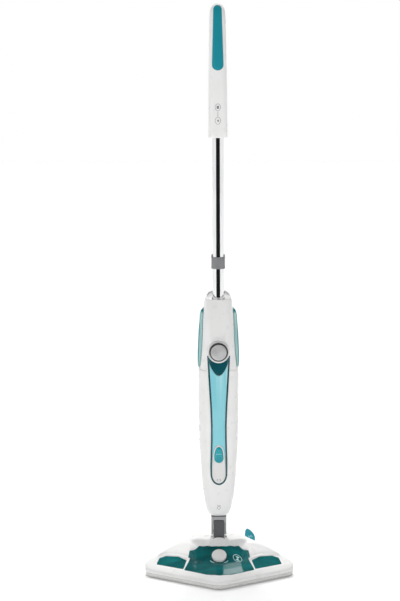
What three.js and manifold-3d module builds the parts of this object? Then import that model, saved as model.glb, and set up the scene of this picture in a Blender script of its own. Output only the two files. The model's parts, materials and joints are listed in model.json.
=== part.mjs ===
// Upright steam mop: a triangular floor head on a two-axis joint, a steam unit with its
// water tank at the back, and a chrome pole with a curved handle.
// Millimetres, +Z up. The front faces -Y. The origin is on the floor under the pole's axis.

import * as THREE from "three";
import { mergeVertices } from "three/addons/utils/BufferGeometryUtils.js";
import Module from "manifold-3d";

const wasm = await Module();
wasm.setup();

// ---------- driving dimensions ----------

const GAP = 0.3; // air between pieces that would touch
const WALL = 2.6; // moulded shell thickness
const AROUND = 20; // steps round a lofted section

const PAD_TOP = 8.0;
const HEAD_FLOOR = 8.6; // underside of the head's shell and base plate
const HEAD_FRONT_Y = -139; // sharp apex before rounding
const HEAD_BACK_Y = 42;
const HEAD_CORNER = [160, -44]; // sharp side corner before rounding

const JOINT_Z = 84; // centre of the neck's universal joint
const UNIT_BOTTOM = 120.8;
const POCKET_FLOOR = 64.5; // the recess in the head's top that the neck swings in
const FORK_HALF_X = 15.8;
const FORK_HALF_Y = 13.5;
const FORK_TOP = 120.2;
const LATCH_Z = 154;
const SPIGOT_R = 12.5;
const SPIGOT_TOP = 164;

const TANK_FLOOR = 434.2;
const TANK_TOP = 556.5;
const DIAL_Z = 472.5;
const DIAL_R = 18.7;
const BEZEL_R = 22.6;

const POLE_R = 11.9;
const POLE_BOTTOM = 503;
const POLE_TOP = 985;
const HANDLE_BOTTOM = 908;
const CLIP_BOTTOM = 640;
const CLIP_TOP = 664.5;
const CLIP_R = 14.2;

const BODY_POWER = 2.8; // how square the unit's and the tank's sections are; 2 is an ellipse
const HANDLE_POWER = 2.6;
const PIN_HOLE_R = 3.3; // for the neck's pins
const COVER_TOP = 109.8; // upper edge of the plate on the fork
const GLAND_Z = 160; // where the cord leaves the unit
const OUTLET_Z = 446; // the tank's outlet
const CAP_Z = 524; // centre of the filler cap
const LATCH_PIN_Z = 573; // the catch that holds the pole
const HOOK_Z = 936; // pivot of the upper cord hook
const SCREW_Z = 975; // the handle's screw

// Steam unit: height, half width, depth in front of the axis, depth behind it.
// Between the ledge and the collar it is only the core that the tank wraps round.
const BODY_ROWS = [
  [UNIT_BOTTOM, 17.3, 17.3, 17.3],
  [124, 21.4, 21.6, 21.2],
  [139, 26.6, 27.0, 25.5],
  [172, 32.4, 32.0, 29.0],
  [205, 35.6, 36.0, 31.0],
  [236, 37.7, 39.0, 32.5],
  [300, 41.0, 43.0, 34.5],
  [360, 41.6, 44.0, 35.0],
  [428, 41.5, 44.0, 35.0],
  [432, 41.0, 44.0, 34.6],
  [433.6, 38.4, 44.0, 22.0],
  [490, 33.4, 42.2, 22.0],
  [531, 31.8, 38.2, 22.0],
  [556.5, 30.2, 33.4, 22.5],
  [558.5, 29.9, 32.8, 28.8],
  [575, 28.0, 28.6, 28.2],
  [585, 25.2, 27.0, 27.0],
  [594, 21.6, 25.0, 25.6],
];
const TANK_ROWS = [
  [434.2, 41.0, 20, 51],
  [437, 42.6, 20, 55],
  [450, 43.0, 20, 57.2],
  [500, 41.4, 20, 58],
  [531, 39.2, 20, 56],
  [545, 38.2, 20, 53],
  [552, 36.4, 20, 49],
  [556.5, 33.4, 20, 43],
];
// Handle: height, half width, depth in front, depth behind, centre line's Y.
const HANDLE_ROWS = [
  [908, 19.6, 15.5, 16.5, 0],
  [985, 19.2, 15.5, 16.3, 1.2],
  [1060, 18.2, 15.5, 15.5, 7.5],
  [1110, 17.4, 15.5, 15.5, 14.5],
  [1150, 16.6, 15.0, 15.0, 21],
  [1166, 15.0, 13.5, 13.5, 24],
  [1175, 11.0, 10.0, 10.0, 25.8],
  [1179.5, 5.0, 4.5, 4.5, 26.6],
];

// Head's top: height above the floor against distance from the front edge, at the middle and in the wings,
// and the ridge's height against distance from the middle.
const HEAD_MIDDLE = [[0, 13], [17, 22.5], [40, 27.5], [62, 33], [92, 57], [99, 70], [108, 77], [130, 80]];
const HEAD_WING = [[0, 13], [17, 22.5], [46, 35], [50, 39.5], [62, 46.5], [84, 58], [110, 64]];
const HEAD_RIDGE = [
  [0, 68.5], [44, 67.5], [54, 64.5], [69, 60.5], [90, 55], [104, 51],
  [128, 42.5], [138, 39], [150, 30], [157, 24],
];
const LIP_HEIGHT = 7.5; // of the raised lip in front of the neck's pocket
const POCKET_HALF = 17;
const POCKET_FRONT = -21.3;

// ---------- materials ----------

const finish = (color, roughness, metalness = 0, opacity = 1) =>
  new THREE.MeshStandardMaterial({ color, roughness, metalness, opacity, transparent: opacity < 1 });
const MATERIALS = {
  white: finish(0xf1f1ef, 0.28),
  teal: finish(0x129aa5, 0.45),
  tealDark: finish(0x06525a, 0.25),
  aqua: finish(0x79c9d3, 0.3),
  window: finish(0x0b8c88, 0.1, 0, 0.6),
  tank: finish(0x8ed3d6, 0.1, 0, 0.5),
  chrome: finish(0xe6e6e6, 0.06, 1),
  silver: finish(0xb9b9bb, 0.3, 0.9),
  grey: finish(0x7d7e80, 0.45),
  greyDark: finish(0x48494b, 0.5),
  pad: finish(0xf2f2f0, 0.95),
  padTab: finish(0x2aa3b3, 0.9),
  steel: finish(0xa5a7aa, 0.3, 1),
  aluminium: finish(0xc3c5c8, 0.4, 1),
  rubber: finish(0x1f1f20, 0.8),
  board: finish(0x1d5b38, 0.5),
  hose: finish(0xe9e4d8, 0.5),
};

const mop = new THREE.Group();

// One group per sub-assembly, standing at the height where it joins the one below.
function subassembly(height) {
  const group = new THREE.Group();
  group.position.set(0, 0, height);
  mop.add(group);
  return group;
}
const head = subassembly(0);
const neck = subassembly(JOINT_Z);
const unit = subassembly(UNIT_BOTTOM);
const tank = subassembly(TANK_FLOOR);
const pole = subassembly(POLE_BOTTOM);
const handle = subassembly(HANDLE_BOTTOM);

// ---------- solids ----------

function solidOf(geometry) {
  const bare = geometry.index ? geometry.toNonIndexed() : geometry.clone();
  bare.deleteAttribute("normal");
  bare.deleteAttribute("uv");
  const merged = mergeVertices(bare, 1e-4);
  return new wasm.Manifold(new wasm.Mesh({
    numProp: 3,
    vertProperties: new Float32Array(merged.attributes.position.array),
    triVerts: new Uint32Array(merged.index.array),
  }));
}

// Adds a solid, made in the mop's own frame, to a sub-assembly as a named mesh.
function add(group, name, solid, material) {
  const { vertProperties, triVerts } = solid.getMesh();
  const geometry = new THREE.BufferGeometry();
  geometry.setAttribute("position", new THREE.BufferAttribute(vertProperties, 3));
  geometry.setIndex(new THREE.BufferAttribute(triVerts, 1));
  geometry.translate(0, 0, -group.position.z);
  geometry.computeVertexNormals();
  const mesh = new THREE.Mesh(geometry, material);
  mesh.name = name;
  group.add(mesh);
}

const unite = (first, ...rest) => rest.reduce((sum, solid) => sum.add(solid), first);
const cut = (first, ...rest) => rest.reduce((sum, solid) => sum.subtract(solid), first);

function block(x0, x1, y0, y1, z0, z1) {
  const box = new THREE.BoxGeometry(x1 - x0, y1 - y0, z1 - z0);
  return solidOf(box.translate((x0 + x1) / 2, (y0 + y1) / 2, (z0 + z1) / 2));
}

// A cylinder or cone from one point to another.
function rod(from, to, r0, r1 = r0, sides = 16) {
  const start = new THREE.Vector3(...from);
  const run = new THREE.Vector3(...to).sub(start);
  const cone = new THREE.CylinderGeometry(r1, r0, run.length(), sides).translate(0, run.length() / 2, 0);
  const turn = new THREE.Quaternion().setFromUnitVectors(new THREE.Vector3(0, 1, 0), run.normalize());
  return solidOf(cone.applyQuaternion(turn).translate(...from));
}

// A turned piece: [radius, height] points from the axis back to the axis, about +Z, then placed.
function turned(profile, sides, place = new THREE.Matrix4()) {
  const points = profile.map(([r, h]) => new THREE.Vector2(r, h));
  return solidOf(new THREE.LatheGeometry(points, sides).rotateX(Math.PI / 2).applyMatrix4(place));
}

// A closed skin through rings of equal count, each running anticlockwise seen from above.
function loft(rings) {
  const count = rings[0].length;
  const position = rings.flat().flatMap((p) => [p.x, p.y, p.z]);
  const index = [];
  for (let r = 0; r + 1 < rings.length; r++)
    for (let i = 0; i < count; i++) {
      const a = r * count + i;
      const b = r * count + ((i + 1) % count);
      index.push(a, b, b + count, a, b + count, a + count);
    }
  const close = (ring, start, up) => {
    const middle = ring.reduce((sum, p) => sum.clone().add(p), new THREE.Vector3()).divideScalar(count);
    const centre = position.push(middle.x, middle.y, middle.z) / 3 - 1;
    for (let i = 0; i < count; i++) {
      const pair = [start + i, start + ((i + 1) % count)];
      index.push(centre, ...(up ? pair : pair.reverse()));
    }
  };
  close(rings[0], 0, false);
  close(rings.at(-1), (rings.length - 1) * count, true);
  const skin = new THREE.BufferGeometry();
  skin.setAttribute("position", new THREE.Float32BufferAttribute(position, 3));
  skin.setIndex(index);
  return solidOf(skin);
}

function extruded(shape, depth, curveSegments) {
  return new THREE.ExtrudeGeometry(shape, { depth, bevelEnabled: false, curveSegments });
}

// A flat outline in X and Y, raised from z0 to z1.
function slab(shape, z0, z1, steps = 4) {
  return solidOf(extruded(shape, z1 - z0, steps).translate(0, 0, z0));
}

// A flat outline in X and Z, run along Y from y0 to y1.
function panel(shape, y0, y1, steps = 4) {
  return solidOf(extruded(shape, y1 - y0, steps).rotateX(Math.PI / 2).translate(0, y1, 0));
}

// An outline in Y and Z, run along X from -half to half.
function side(shape, half, steps = 4) {
  const place = new THREE.Matrix4().makeBasis(
    new THREE.Vector3(0, 1, 0), new THREE.Vector3(0, 0, 1), new THREE.Vector3(1, 0, 0));
  return solidOf(extruded(shape, 2 * half, steps).applyMatrix4(place).translate(-half, 0, 0));
}

// A round or oblong section swept through points.
function swept(points, halfX, halfY = halfX, steps = 16, sides = 8) {
  const path = new THREE.CatmullRomCurve3(points.map((p) => new THREE.Vector3(...p)));
  const section = new THREE.Shape();
  for (let i = 0; i < sides; i++) {
    const turn = (2 * Math.PI * (i + 0.5)) / sides;
    section[i ? "lineTo" : "moveTo"](halfX * Math.cos(turn), halfY * Math.sin(turn));
  }
  section.closePath();
  return solidOf(new THREE.ExtrudeGeometry(section, { steps, extrudePath: path, curveSegments: 1 }));
}

function outline(points) {
  return new THREE.Shape(points.map(([x, y]) => new THREE.Vector2(x, y)));
}

// An outline's right half, then its mirror image from the far end back.
const mirrored = (points) => {
  const others = points.filter(([x]) => x !== 0).map(([x, y]) => [-x, y]);
  return [...points, ...others.reverse()];
};

function roundedBox(x0, x1, y0, y1, r) {
  const shape = new THREE.Shape();
  shape.moveTo(x0 + r, y0);
  shape.lineTo(x1 - r, y0);
  shape.absarc(x1 - r, y0 + r, r, -Math.PI / 2, 0);
  shape.lineTo(x1, y1 - r);
  shape.absarc(x1 - r, y1 - r, r, 0, Math.PI / 2);
  shape.lineTo(x0 + r, y1);
  shape.absarc(x0 + r, y1 - r, r, Math.PI / 2, Math.PI);
  shape.lineTo(x0, y0 + r);
  shape.absarc(x0 + r, y0 + r, r, Math.PI, 1.5 * Math.PI);
  return shape;
}

// ---------- curves ----------

// Value of a table's column at a height, on a cubic whose slopes never overshoot.
function lookup(rows, at, column = 1) {
  const last = rows.length - 1;
  if (at <= rows[0][0]) return rows[0][column];
  if (at >= rows[last][0]) return rows[last][column];
  const slopes = rows.slice(1).map((row, i) => (row[column] - rows[i][column]) / (row[0] - rows[i][0]));
  const tangent = (i) => {
    if (i === 0) return slopes[0];
    if (i === last) return slopes[last - 1];
    const [before, after] = [slopes[i - 1], slopes[i]];
    return before * after <= 0 ? 0 : (2 * before * after) / (before + after);
  };
  const i = rows.findIndex((row) => row[0] > at) - 1;
  const span = rows[i + 1][0] - rows[i][0];
  const t = (at - rows[i][0]) / span;
  const rise = rows[i + 1][column] - rows[i][column];
  const bend = (1 - t) * tangent(i) * span + t * -tangent(i + 1) * span;
  return rows[i][column] + rise * t * t * (3 - 2 * t) + t * (1 - t) * bend;
}

const power = (value, exponent) => Math.sign(value) * Math.abs(value) ** exponent;

// One ring of a table's section, grown by an offset. squareness 2 is an ellipse.
function sectionRing(rows, z, offset, squareness = BODY_POWER, count = AROUND) {
  const centre = rows[0].length > 4 ? lookup(rows, z, 4) : 0;
  const half = lookup(rows, z, 1) + offset;
  const ring = [];
  for (let i = 0; i < count; i++) {
    const turn = (2 * Math.PI * i) / count;
    const depth = lookup(rows, z, Math.sin(turn) < 0 ? 2 : 3) + offset;
    const x = half * power(Math.cos(turn), 2 / squareness);
    const y = depth * power(Math.sin(turn), 2 / squareness);
    ring.push(new THREE.Vector3(x, centre + y, z));
  }
  return ring;
}

function sectionLoft(rows, heights, offset, squareness, count) {
  return loft(heights.map((z) => sectionRing(rows, z, offset, squareness, count)));
}

// ---------- head ----------

// The head's outline from the front apex round the right corner to the middle of the back edge.
function halfOutline() {
  const [cornerX, cornerY] = HEAD_CORNER;
  const half = new THREE.Path();
  half.moveTo(0, HEAD_FRONT_Y + 4.5);
  half.quadraticCurveTo(9, HEAD_FRONT_Y + 4.5, 22, HEAD_FRONT_Y + 13);
  half.lineTo(cornerX - 22, cornerY - 13);
  half.quadraticCurveTo(cornerX - 3, cornerY - 1.8, cornerX - 5, cornerY + 14);
  half.quadraticCurveTo(cornerX - 6.5, cornerY + 22, cornerX - 22, cornerY + 30);
  half.quadraticCurveTo(78, 8, 56, 33);
  half.quadraticCurveTo(49, HEAD_BACK_Y, 40, HEAD_BACK_Y);
  half.lineTo(0, HEAD_BACK_Y);
  return half.getSpacedPoints(160);
}
const HALF_OUTLINE = halfOutline();
const WIDEST = HALF_OUTLINE.reduce((best, p, i) => (p.x > HALF_OUTLINE[best].x ? i : best), 0);
const HEAD_HALF_X = HALF_OUTLINE[WIDEST].x;

// Y of the outline's front or back edge at a distance from the middle.
function edgeY(x, front) {
  const run = front ? HALF_OUTLINE.slice(0, WIDEST + 1) : HALF_OUTLINE.slice(WIDEST).reverse();
  const across = Math.min(Math.abs(x), HEAD_HALF_X - 0.01);
  const i = Math.max(1, run.findIndex((p) => p.x >= across));
  const share = (across - run[i - 1].x) / Math.max(1e-6, run[i].x - run[i - 1].x);
  return run[i - 1].y + share * (run[i].y - run[i - 1].y);
}

// The plan outline shrunk by an inset, as a shape.
function headPlan(inset) {
  const right = HALF_OUTLINE.filter((p, i) => i % 8 === 0).map((p, i, all) => {
    const before = all[i - 1] ?? new THREE.Vector2(-all[1].x, p.y);
    const run = (all[i + 1] ?? p).clone().sub(before).normalize();
    return [Math.max(0, p.x - inset * run.y), p.y + inset * run.x];
  });
  return outline(mirrored(right));
}

const FRONT_SLOPE = (HEAD_CORNER[1] - HEAD_FRONT_Y) / HEAD_CORNER[0];
const FRONT_COS = 1 / Math.hypot(1, FRONT_SLOPE);

// Distance behind the front edge, with the apex rounded.
function behindFront(x, y) {
  const reach = Math.hypot(x, 14) - 14 * 0.55;
  return Math.max(0, (y - (HEAD_FRONT_Y - 0.5) - FRONT_SLOPE * reach) * FRONT_COS);
}

function headHeight(x, y) {
  const across = Math.abs(x);
  const wing = THREE.MathUtils.smoothstep(across, 46, 64);
  const d = behindFront(across, y);
  const front = (1 - wing) * lookup(HEAD_MIDDLE, d) + wing * lookup(HEAD_WING, d);
  const ridge = lookup(HEAD_RIDGE, across);
  const blend = 5;
  const share = THREE.MathUtils.clamp(0.5 + (0.5 * (ridge - front)) / blend, 0, 1);
  return ridge + (front - ridge) * share - blend * share * (1 - share) * 0.5 + LIP_HEIGHT * lip(across, -y);
}

// How far the lip in front of the pocket is raised, from 0 to 1.
function lip(across, forward) {
  const { smoothstep } = THREE.MathUtils;
  const rise = smoothstep(forward, 13, 20) * (1 - smoothstep(forward, 23, 31));
  return rise * (1 - smoothstep(across, 15, 34));
}

const HEAD_COLUMNS = [0, 9, 16, 25, 34, 44, 50, 57, 64, 80, 98, 116, 132, 144, 151, 153.8];
const HEAD_STEPS = [0, 2.5, 17, 40, 50, 62, 76, 88, 92, 95.5, 99, 104, 111];
const BACK_STEPS = [8, 2.5, 0];

// The head's solid from a floor height up to its top, its sides moved in by an inset and its top sunk.
function headSolid(floor, inset, sink = inset, columns = HEAD_COLUMNS, steps = HEAD_STEPS) {
  const right = columns.map((x) => Math.min(x, HEAD_HALF_X - 1.2) * (1 - inset / 140));
  const across = [...right.slice(1).map((x) => -x).reverse(), ...right];
  return loft(across.map((x) => {
    const [near, far] = [edgeY(x, true) + inset, edgeY(x, false) - inset];
    const back = BACK_STEPS.map((step) => far - Math.min(step, (far - near) * 0.4));
    const room = (back[0] - near) * 0.9;
    const front = steps.map((d) => near + Math.min(d / FRONT_COS, (room * d) / steps.at(-1)));
    const top = [...front, ...back].map((y) => {
      const edge = Math.max(0, 1 - (far - y) / 8);
      const height = headHeight(x, y) - sink - 7 * edge * edge;
      return new THREE.Vector3(x, y, Math.max(height, floor + 2));
    });
    return [new THREE.Vector3(x, near, floor), new THREE.Vector3(x, far, floor), ...top.reverse()];
  }));
}

const MIDDLE_WINDOW = mirrored([
  [0, -26.4], [16, -25.6], [22, -24], [30, -19], [41.7, -13.6], [54, -22], [61.5, -27.8], [64.5, -46.4],
  [60.2, -47.2], [72.6, -78], [25, -106.7], [0, -113.5],
]);
const WING_WINDOW = [
  [67.8, -49.8], [84.6, -35.7], [112.5, -22.4], [125.4, -24.1], [130.8, -41.8], [74.6, -74.7],
];

const grown = (points, amount) => {
  const mean = (axis) => points.reduce((sum, p) => sum + p[axis] / points.length, 0);
  const [cx, cy] = [mean(0), mean(1)];
  return points.map(([x, y]) => {
    const reach = Math.hypot(x - cx, y - cy);
    return [x + ((x - cx) * amount) / reach, y + ((y - cy) * amount) / reach];
  });
};
const flipX = (points) => points.map(([x, y]) => [-x, y]).reverse();

const KNOB_Y = -47; // centre of the scent knob, on the middle window's upper slope
const KNOB_Z = headHeight(0, KNOB_Y);
const KNOB_TILT = Math.atan2(headHeight(0, KNOB_Y + 5) - headHeight(0, KNOB_Y - 5), 10);
const knobPlace = new THREE.Matrix4().makeRotationX(KNOB_TILT).setPosition(0, KNOB_Y, KNOB_Z);
const KNOB_R = 15.6;

function buildHead() {
  const outer = headSolid(HEAD_FLOOR, 0);
  const coarse = [0, 24, 50, 64, 98, 132, 151];
  const inner = headSolid(HEAD_FLOOR - 4, WALL, WALL + 1.8, coarse, [0, 17, 46, 62, 92]);
  const windows = [MIDDLE_WINDOW, WING_WINDOW, flipX(WING_WINDOW)];
  const openings = windows.map((points) => slab(outline(grown(points, GAP)), 5, 90));
  const knobWell = rod([0, 0, -15], [0, 0, 14], KNOB_R + 1.5).transform(knobPlace.elements);
  const pocketPlan = (offset, corner) => {
    const reach = POCKET_HALF + offset;
    return roundedBox(-reach, reach, POCKET_FRONT - offset, reach, corner);
  };
  const pocketWall = slab(pocketPlan(WALL, 8), POCKET_FLOOR - WALL, 90).intersect(outer);
  const pocket = slab(pocketPlan(0, 6), POCKET_FLOOR, 90);
  const columnHole = slab(roundedBox(-12.8, 12.8, -15, 15, 4.3), 40, 90);
  const shell = unite(cut(outer, inner), pocketWall);
  add(head, "head_shell", cut(shell, ...openings, pocket, columnHole, knobWell), MATERIALS.white);

  // Windows are the shell's own skin, cut out and set 0.4 mm low.
  const skin = headSolid(HEAD_FLOOR, 0.4).subtract(inner);
  const names = ["middle_window", "right_window", "left_window"];
  windows.forEach((points, i) => {
    const piece = skin.intersect(slab(outline(points), 14, 90));
    add(head, names[i], i ? piece : piece.subtract(knobWell), MATERIALS.window);
  });

  const holes = [];
  for (const x of [-90, -60, -30, 0, 30, 60, 90])
    holes.push(rod([x, -78 + Math.abs(x) * 0.45, 0], [x, -78 + Math.abs(x) * 0.45, 30], 2.5, 2.5, 8));
  const plate = slab(headPlan(7), HEAD_FLOOR, 12.4);
  add(head, "head_base", cut(plate, ...holes), MATERIALS.greyDark);

  const channel = [[0, -98], [108, -38], [108, -26], [18, -60], [9, -22], [0, -22]];
  const hollow = [[0, -94.5], [103, -38], [103, -30], [16, -64], [6, -26], [0, -26]];
  const manifold = slab(outline(mirrored(channel)), 12.7, 19);
  const steamWay = slab(outline(mirrored(hollow)), 12, 17);
  add(head, "steam_manifold", manifold.subtract(steamWay), MATERIALS.greyDark);

  add(head, "mop_pad", slab(headPlan(0.6), 0, PAD_TOP), MATERIALS.pad);
  const tabShape = roundedBox(57, 78.5, 24, 72, 6);
  add(head, "pad_tab", panel(tabShape, 53.5, 55.1, 3), MATERIALS.padTab);
  add(head, "pad_tab_band", block(57, 78.5, 53, 55.4, 1, 23.7), MATERIALS.pad);
}

function buildScentKnob() {
  const flange = KNOB_R + 0.6;
  const cup = [
    [0, -13], [13, -13], [13, -2.4], [flange, -2.4], [flange, -0.9], [11, -0.9], [11, -11], [0, -11],
  ];
  add(head, "scent_cup", turned(cup, 16, knobPlace), MATERIALS.greyDark);
  const crown = [
    [0, -0.4], [KNOB_R, -0.4], [KNOB_R, 4], [KNOB_R - 1.6, 6], [KNOB_R - 5, 6.8], [0, 7.2],
  ];
  const cap = turned(crown, 18, knobPlace);
  const pointer = rod([0, KNOB_R - 3, 1.2], [0, KNOB_R - 3, 5.4], 4.6, 4.2, 3).transform(knobPlace.elements);
  const stem = rod([0, 0, -4], [0, 0, 0], 8.5).transform(knobPlace.elements);
  add(head, "scent_knob", unite(cap, stem, pointer), MATERIALS.white);
}

// ---------- neck ----------

function buildNeck() {
  // Lower fork: a column on the base plate with a cheek in front of and behind the cross.
  const column = slab(roundedBox(-12.4, 12.4, -14.6, 14.6, 4), 12.7, 64);
  const cheek = panel(roundedBox(-7, 7, 60, JOINT_Z + 6.6, 6.9), -14.1, 14.1, 3);
  const roundTop = rod([-20, 0, JOINT_Z], [20, 0, JOINT_Z], 14.1, 14.1, 20);
  const swing = roundTop.add(block(-20, 20, -20, 20, 10, JOINT_Z));
  const slot = block(-20, 20, -10.2, 10.2, 64, 120);
  const rollHole = rod([0, -20, JOINT_Z], [0, 20, JOINT_Z], PIN_HOLE_R, PIN_HOLE_R, 12);
  const pitchHole = rod([-20, 0, JOINT_Z], [20, 0, JOINT_Z], PIN_HOLE_R, PIN_HOLE_R, 12);
  const hosePath = rod([0, 0, 16], [0, 0, 70], 6).add(rod([0, 0, 17.5], [0, -20, 17.5], 3, 3, 8));
  const lowerFork = cut(unite(column, cheek).intersect(swing), slot, rollHole, hosePath);
  add(neck, "lower_fork", lowerFork, MATERIALS.greyDark);

  const cross = cut(
    slab(roundedBox(-9.4, 9.4, -9.4, 9.4, 2), JOINT_Z - 8, JOINT_Z + 8, 1),
    rod([0, 0, 60], [0, 0, 110], 5.2, 5.2, 12),
    pitchHole,
    rollHole,
  );
  add(neck, "neck_cross", cross, MATERIALS.greyDark);
  const pins = {
    pitch_pin_left: [-1, 0],
    pitch_pin_right: [1, 0],
    roll_pin_front: [0, -1],
    roll_pin_rear: [0, 1],
  };
  for (const [name, [x, y]] of Object.entries(pins)) {
    const reach = x ? FORK_HALF_X - 0.8 : 14;
    const pin = rod([x * 5.6, y * 5.6, JOINT_Z], [x * reach, y * reach, JOINT_Z], 3, 3, 12);
    add(neck, name, pin, MATERIALS.steel);
  }
  add(neck, "neck_hose_lower", rod([0, 0, 20.5], [0, 0, 72], 3.6, 3.6, 10), MATERIALS.hose);
  add(neck, "neck_hose_upper", rod([0, 0, 72.3], [0, 0, 118], 3.6, 3.6, 10), MATERIALS.hose);

  // Upper fork: a sleeve with a cheek on each side of the cross.
  const sleevePlan = roundedBox(-FORK_HALF_X, FORK_HALF_X, -FORK_HALF_Y, FORK_HALF_Y, 5);
  const sleeve = slab(sleevePlan, JOINT_Z + 19.6, FORK_TOP, 3);
  const cheeks = side(roundedBox(-8.2, 8.2, JOINT_Z - 8.2, JOINT_Z + 24, 8), FORK_HALF_X);
  const upperFork = cut(
    unite(sleeve, cheeks),
    block(-11.6, 11.6, -20, 20, 60, JOINT_Z + 19.6),
    pitchHole,
    rod([0, 0, 90], [0, 0, 130], 5.4, 5.4, 12),
    block(-11.3, 11.3, -20, -FORK_HALF_Y + 1.9, JOINT_Z + 15, 110.1),
  );
  add(neck, "upper_fork", upperFork, MATERIALS.grey);
  // The cover hangs from the sleeve's front, over the lower fork's front cheek.
  const apron = roundedBox(-11.4, 11.4, JOINT_Z - 11.2, COVER_TOP, 5).getPoints(4);
  const apronPlan = outline(apron.map((p) => [p.x, Math.min(p.y, COVER_TOP)]));
  const mount = block(-11, 11, -16, -FORK_HALF_Y + 1.6, JOINT_Z + 20, COVER_TOP);
  add(neck, "fork_cover", panel(apronPlan, -16.6, -14.9).add(mount), MATERIALS.greyDark);
  const spigot = cut(
    rod([0, 0, FORK_TOP + GAP], [0, 0, SPIGOT_TOP], SPIGOT_R, SPIGOT_R - 0.6, 14),
    rod([0, 0, 110], [0, 0, 170], 5, 5, 12),
    ...[[130, 133.6], [153.4, 157.6]].map(([low, high]) => {
      const core = rod([0, 0, low - 1], [0, 0, high + 1], 10.6, 10.6, 14);
      return rod([0, 0, low], [0, 0, high], 14, 14, 14).subtract(core);
    }),
  );
  add(neck, "neck_spigot", spigot, MATERIALS.grey);
  const seal = [
    [10.9, 130.4], [12.5, 130.4], [12.8, 131.8], [12.5, 133.2], [10.9, 133.2], [10.9, 130.4],
  ];
  add(neck, "neck_seal", turned(seal, 14), MATERIALS.rubber);
}

// ---------- steam unit ----------

const BODY_HEIGHTS = BODY_ROWS.map((row) => row[0]);
const bodySolid = (offset, from = 0, to = 1000) => {
  const heights = BODY_HEIGHTS.filter((z) => z > from && z < to);
  if (from > BODY_HEIGHTS[0]) heights.unshift(from);
  if (to < BODY_HEIGHTS.at(-1)) heights.push(to);
  return sectionLoft(BODY_ROWS, heights, offset);
};

// The insert that runs down the front: its frame's outline, and the panel inside the frame.
const FRAME_SIDE = [
  [23.5, 464], [22.2, 440], [20.0, 400], [17.4, 355], [16.2, 320], [16.3, 290], [17.2, 255],
  [17.8, 232], [17.4, 215],
];
const PANEL_TOP = [[19.4, 449], [13, 434], [5, 424.2], [0, 422.6]];

function insertOutline(inset) {
  const flank = FRAME_SIDE.map(([x, z]) => [x - inset, z]);
  const low = flank.at(-1);
  const shape = new THREE.Shape();
  shape.moveTo(-flank[0][0], flank[0][1] - inset);
  flank.slice(1).forEach(([x, z]) => shape.lineTo(-x, z));
  shape.absellipse(0, low[1], low[0], 24 - inset, -Math.PI, 0, false);
  flank.slice().reverse().forEach(([x, z], i) => shape.lineTo(x, i === flank.length - 1 ? z - inset : z));
  return shape;
}

function panelOutline(inset) {
  const flank = FRAME_SIDE.filter(([, z]) => z < 441).map(([x, z]) => [x - 3.6 - inset, z]);
  const low = flank.at(-1);
  const shape = new THREE.Shape();
  const top = PANEL_TOP.map(([x, z], i) => [i ? x : x - inset, z - 2.4 * inset]);
  shape.moveTo(0, top.at(-1)[1]);
  top.slice(0, -1).reverse().forEach(([x, z]) => shape.lineTo(-x, z));
  flank.forEach(([x, z]) => shape.lineTo(-x, z));
  shape.absellipse(0, low[1], low[0], 20.4 - inset, -Math.PI, 0, false);
  flank.slice().reverse().forEach(([x, z]) => shape.lineTo(x, z));
  top.slice(0, -1).forEach(([x, z]) => shape.lineTo(x, z));
  return shape;
}

// Egg outlines: the release button, and the plate's rim round it.
function egg(inset) {
  const shape = new THREE.Shape();
  const low = 249.5;
  shape.absellipse(0, low, 9.2 - inset, 9.6 - inset, -Math.PI, 0, false);
  shape.bezierCurveTo(9.2 - inset, 262, 6.2 - inset, 273.4 - inset, 0, 273.4 - inset);
  shape.bezierCurveTo(-6.2 + inset, 273.4 - inset, -9.2 + inset, 262, -9.2 + inset, low);
  return shape;
}

// The plate: the panel's foot, with a top that follows the button.
function plateOutline(inset) {
  const shape = new THREE.Shape();
  const half = 13.2 - inset;
  shape.moveTo(-half, 236);
  shape.lineTo(-half - 0.6, 215);
  shape.absellipse(0, 215, half + 0.6, 20.1 - inset, -Math.PI, 0, false);
  shape.lineTo(half, 236);
  shape.bezierCurveTo(half, 262, 7.4 - inset, 277.6 - inset, 0, 277.6 - inset);
  shape.bezierCurveTo(-7.4 + inset, 277.6 - inset, -half, 262, -half, 236);
  return shape;
}

const inFront = (shape, from = -70, to = -10) => panel(shape, from, to);
const layer = (shape, out, inside) => inFront(shape).intersect(bodySolid(out)).subtract(bodySolid(inside));

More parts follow.
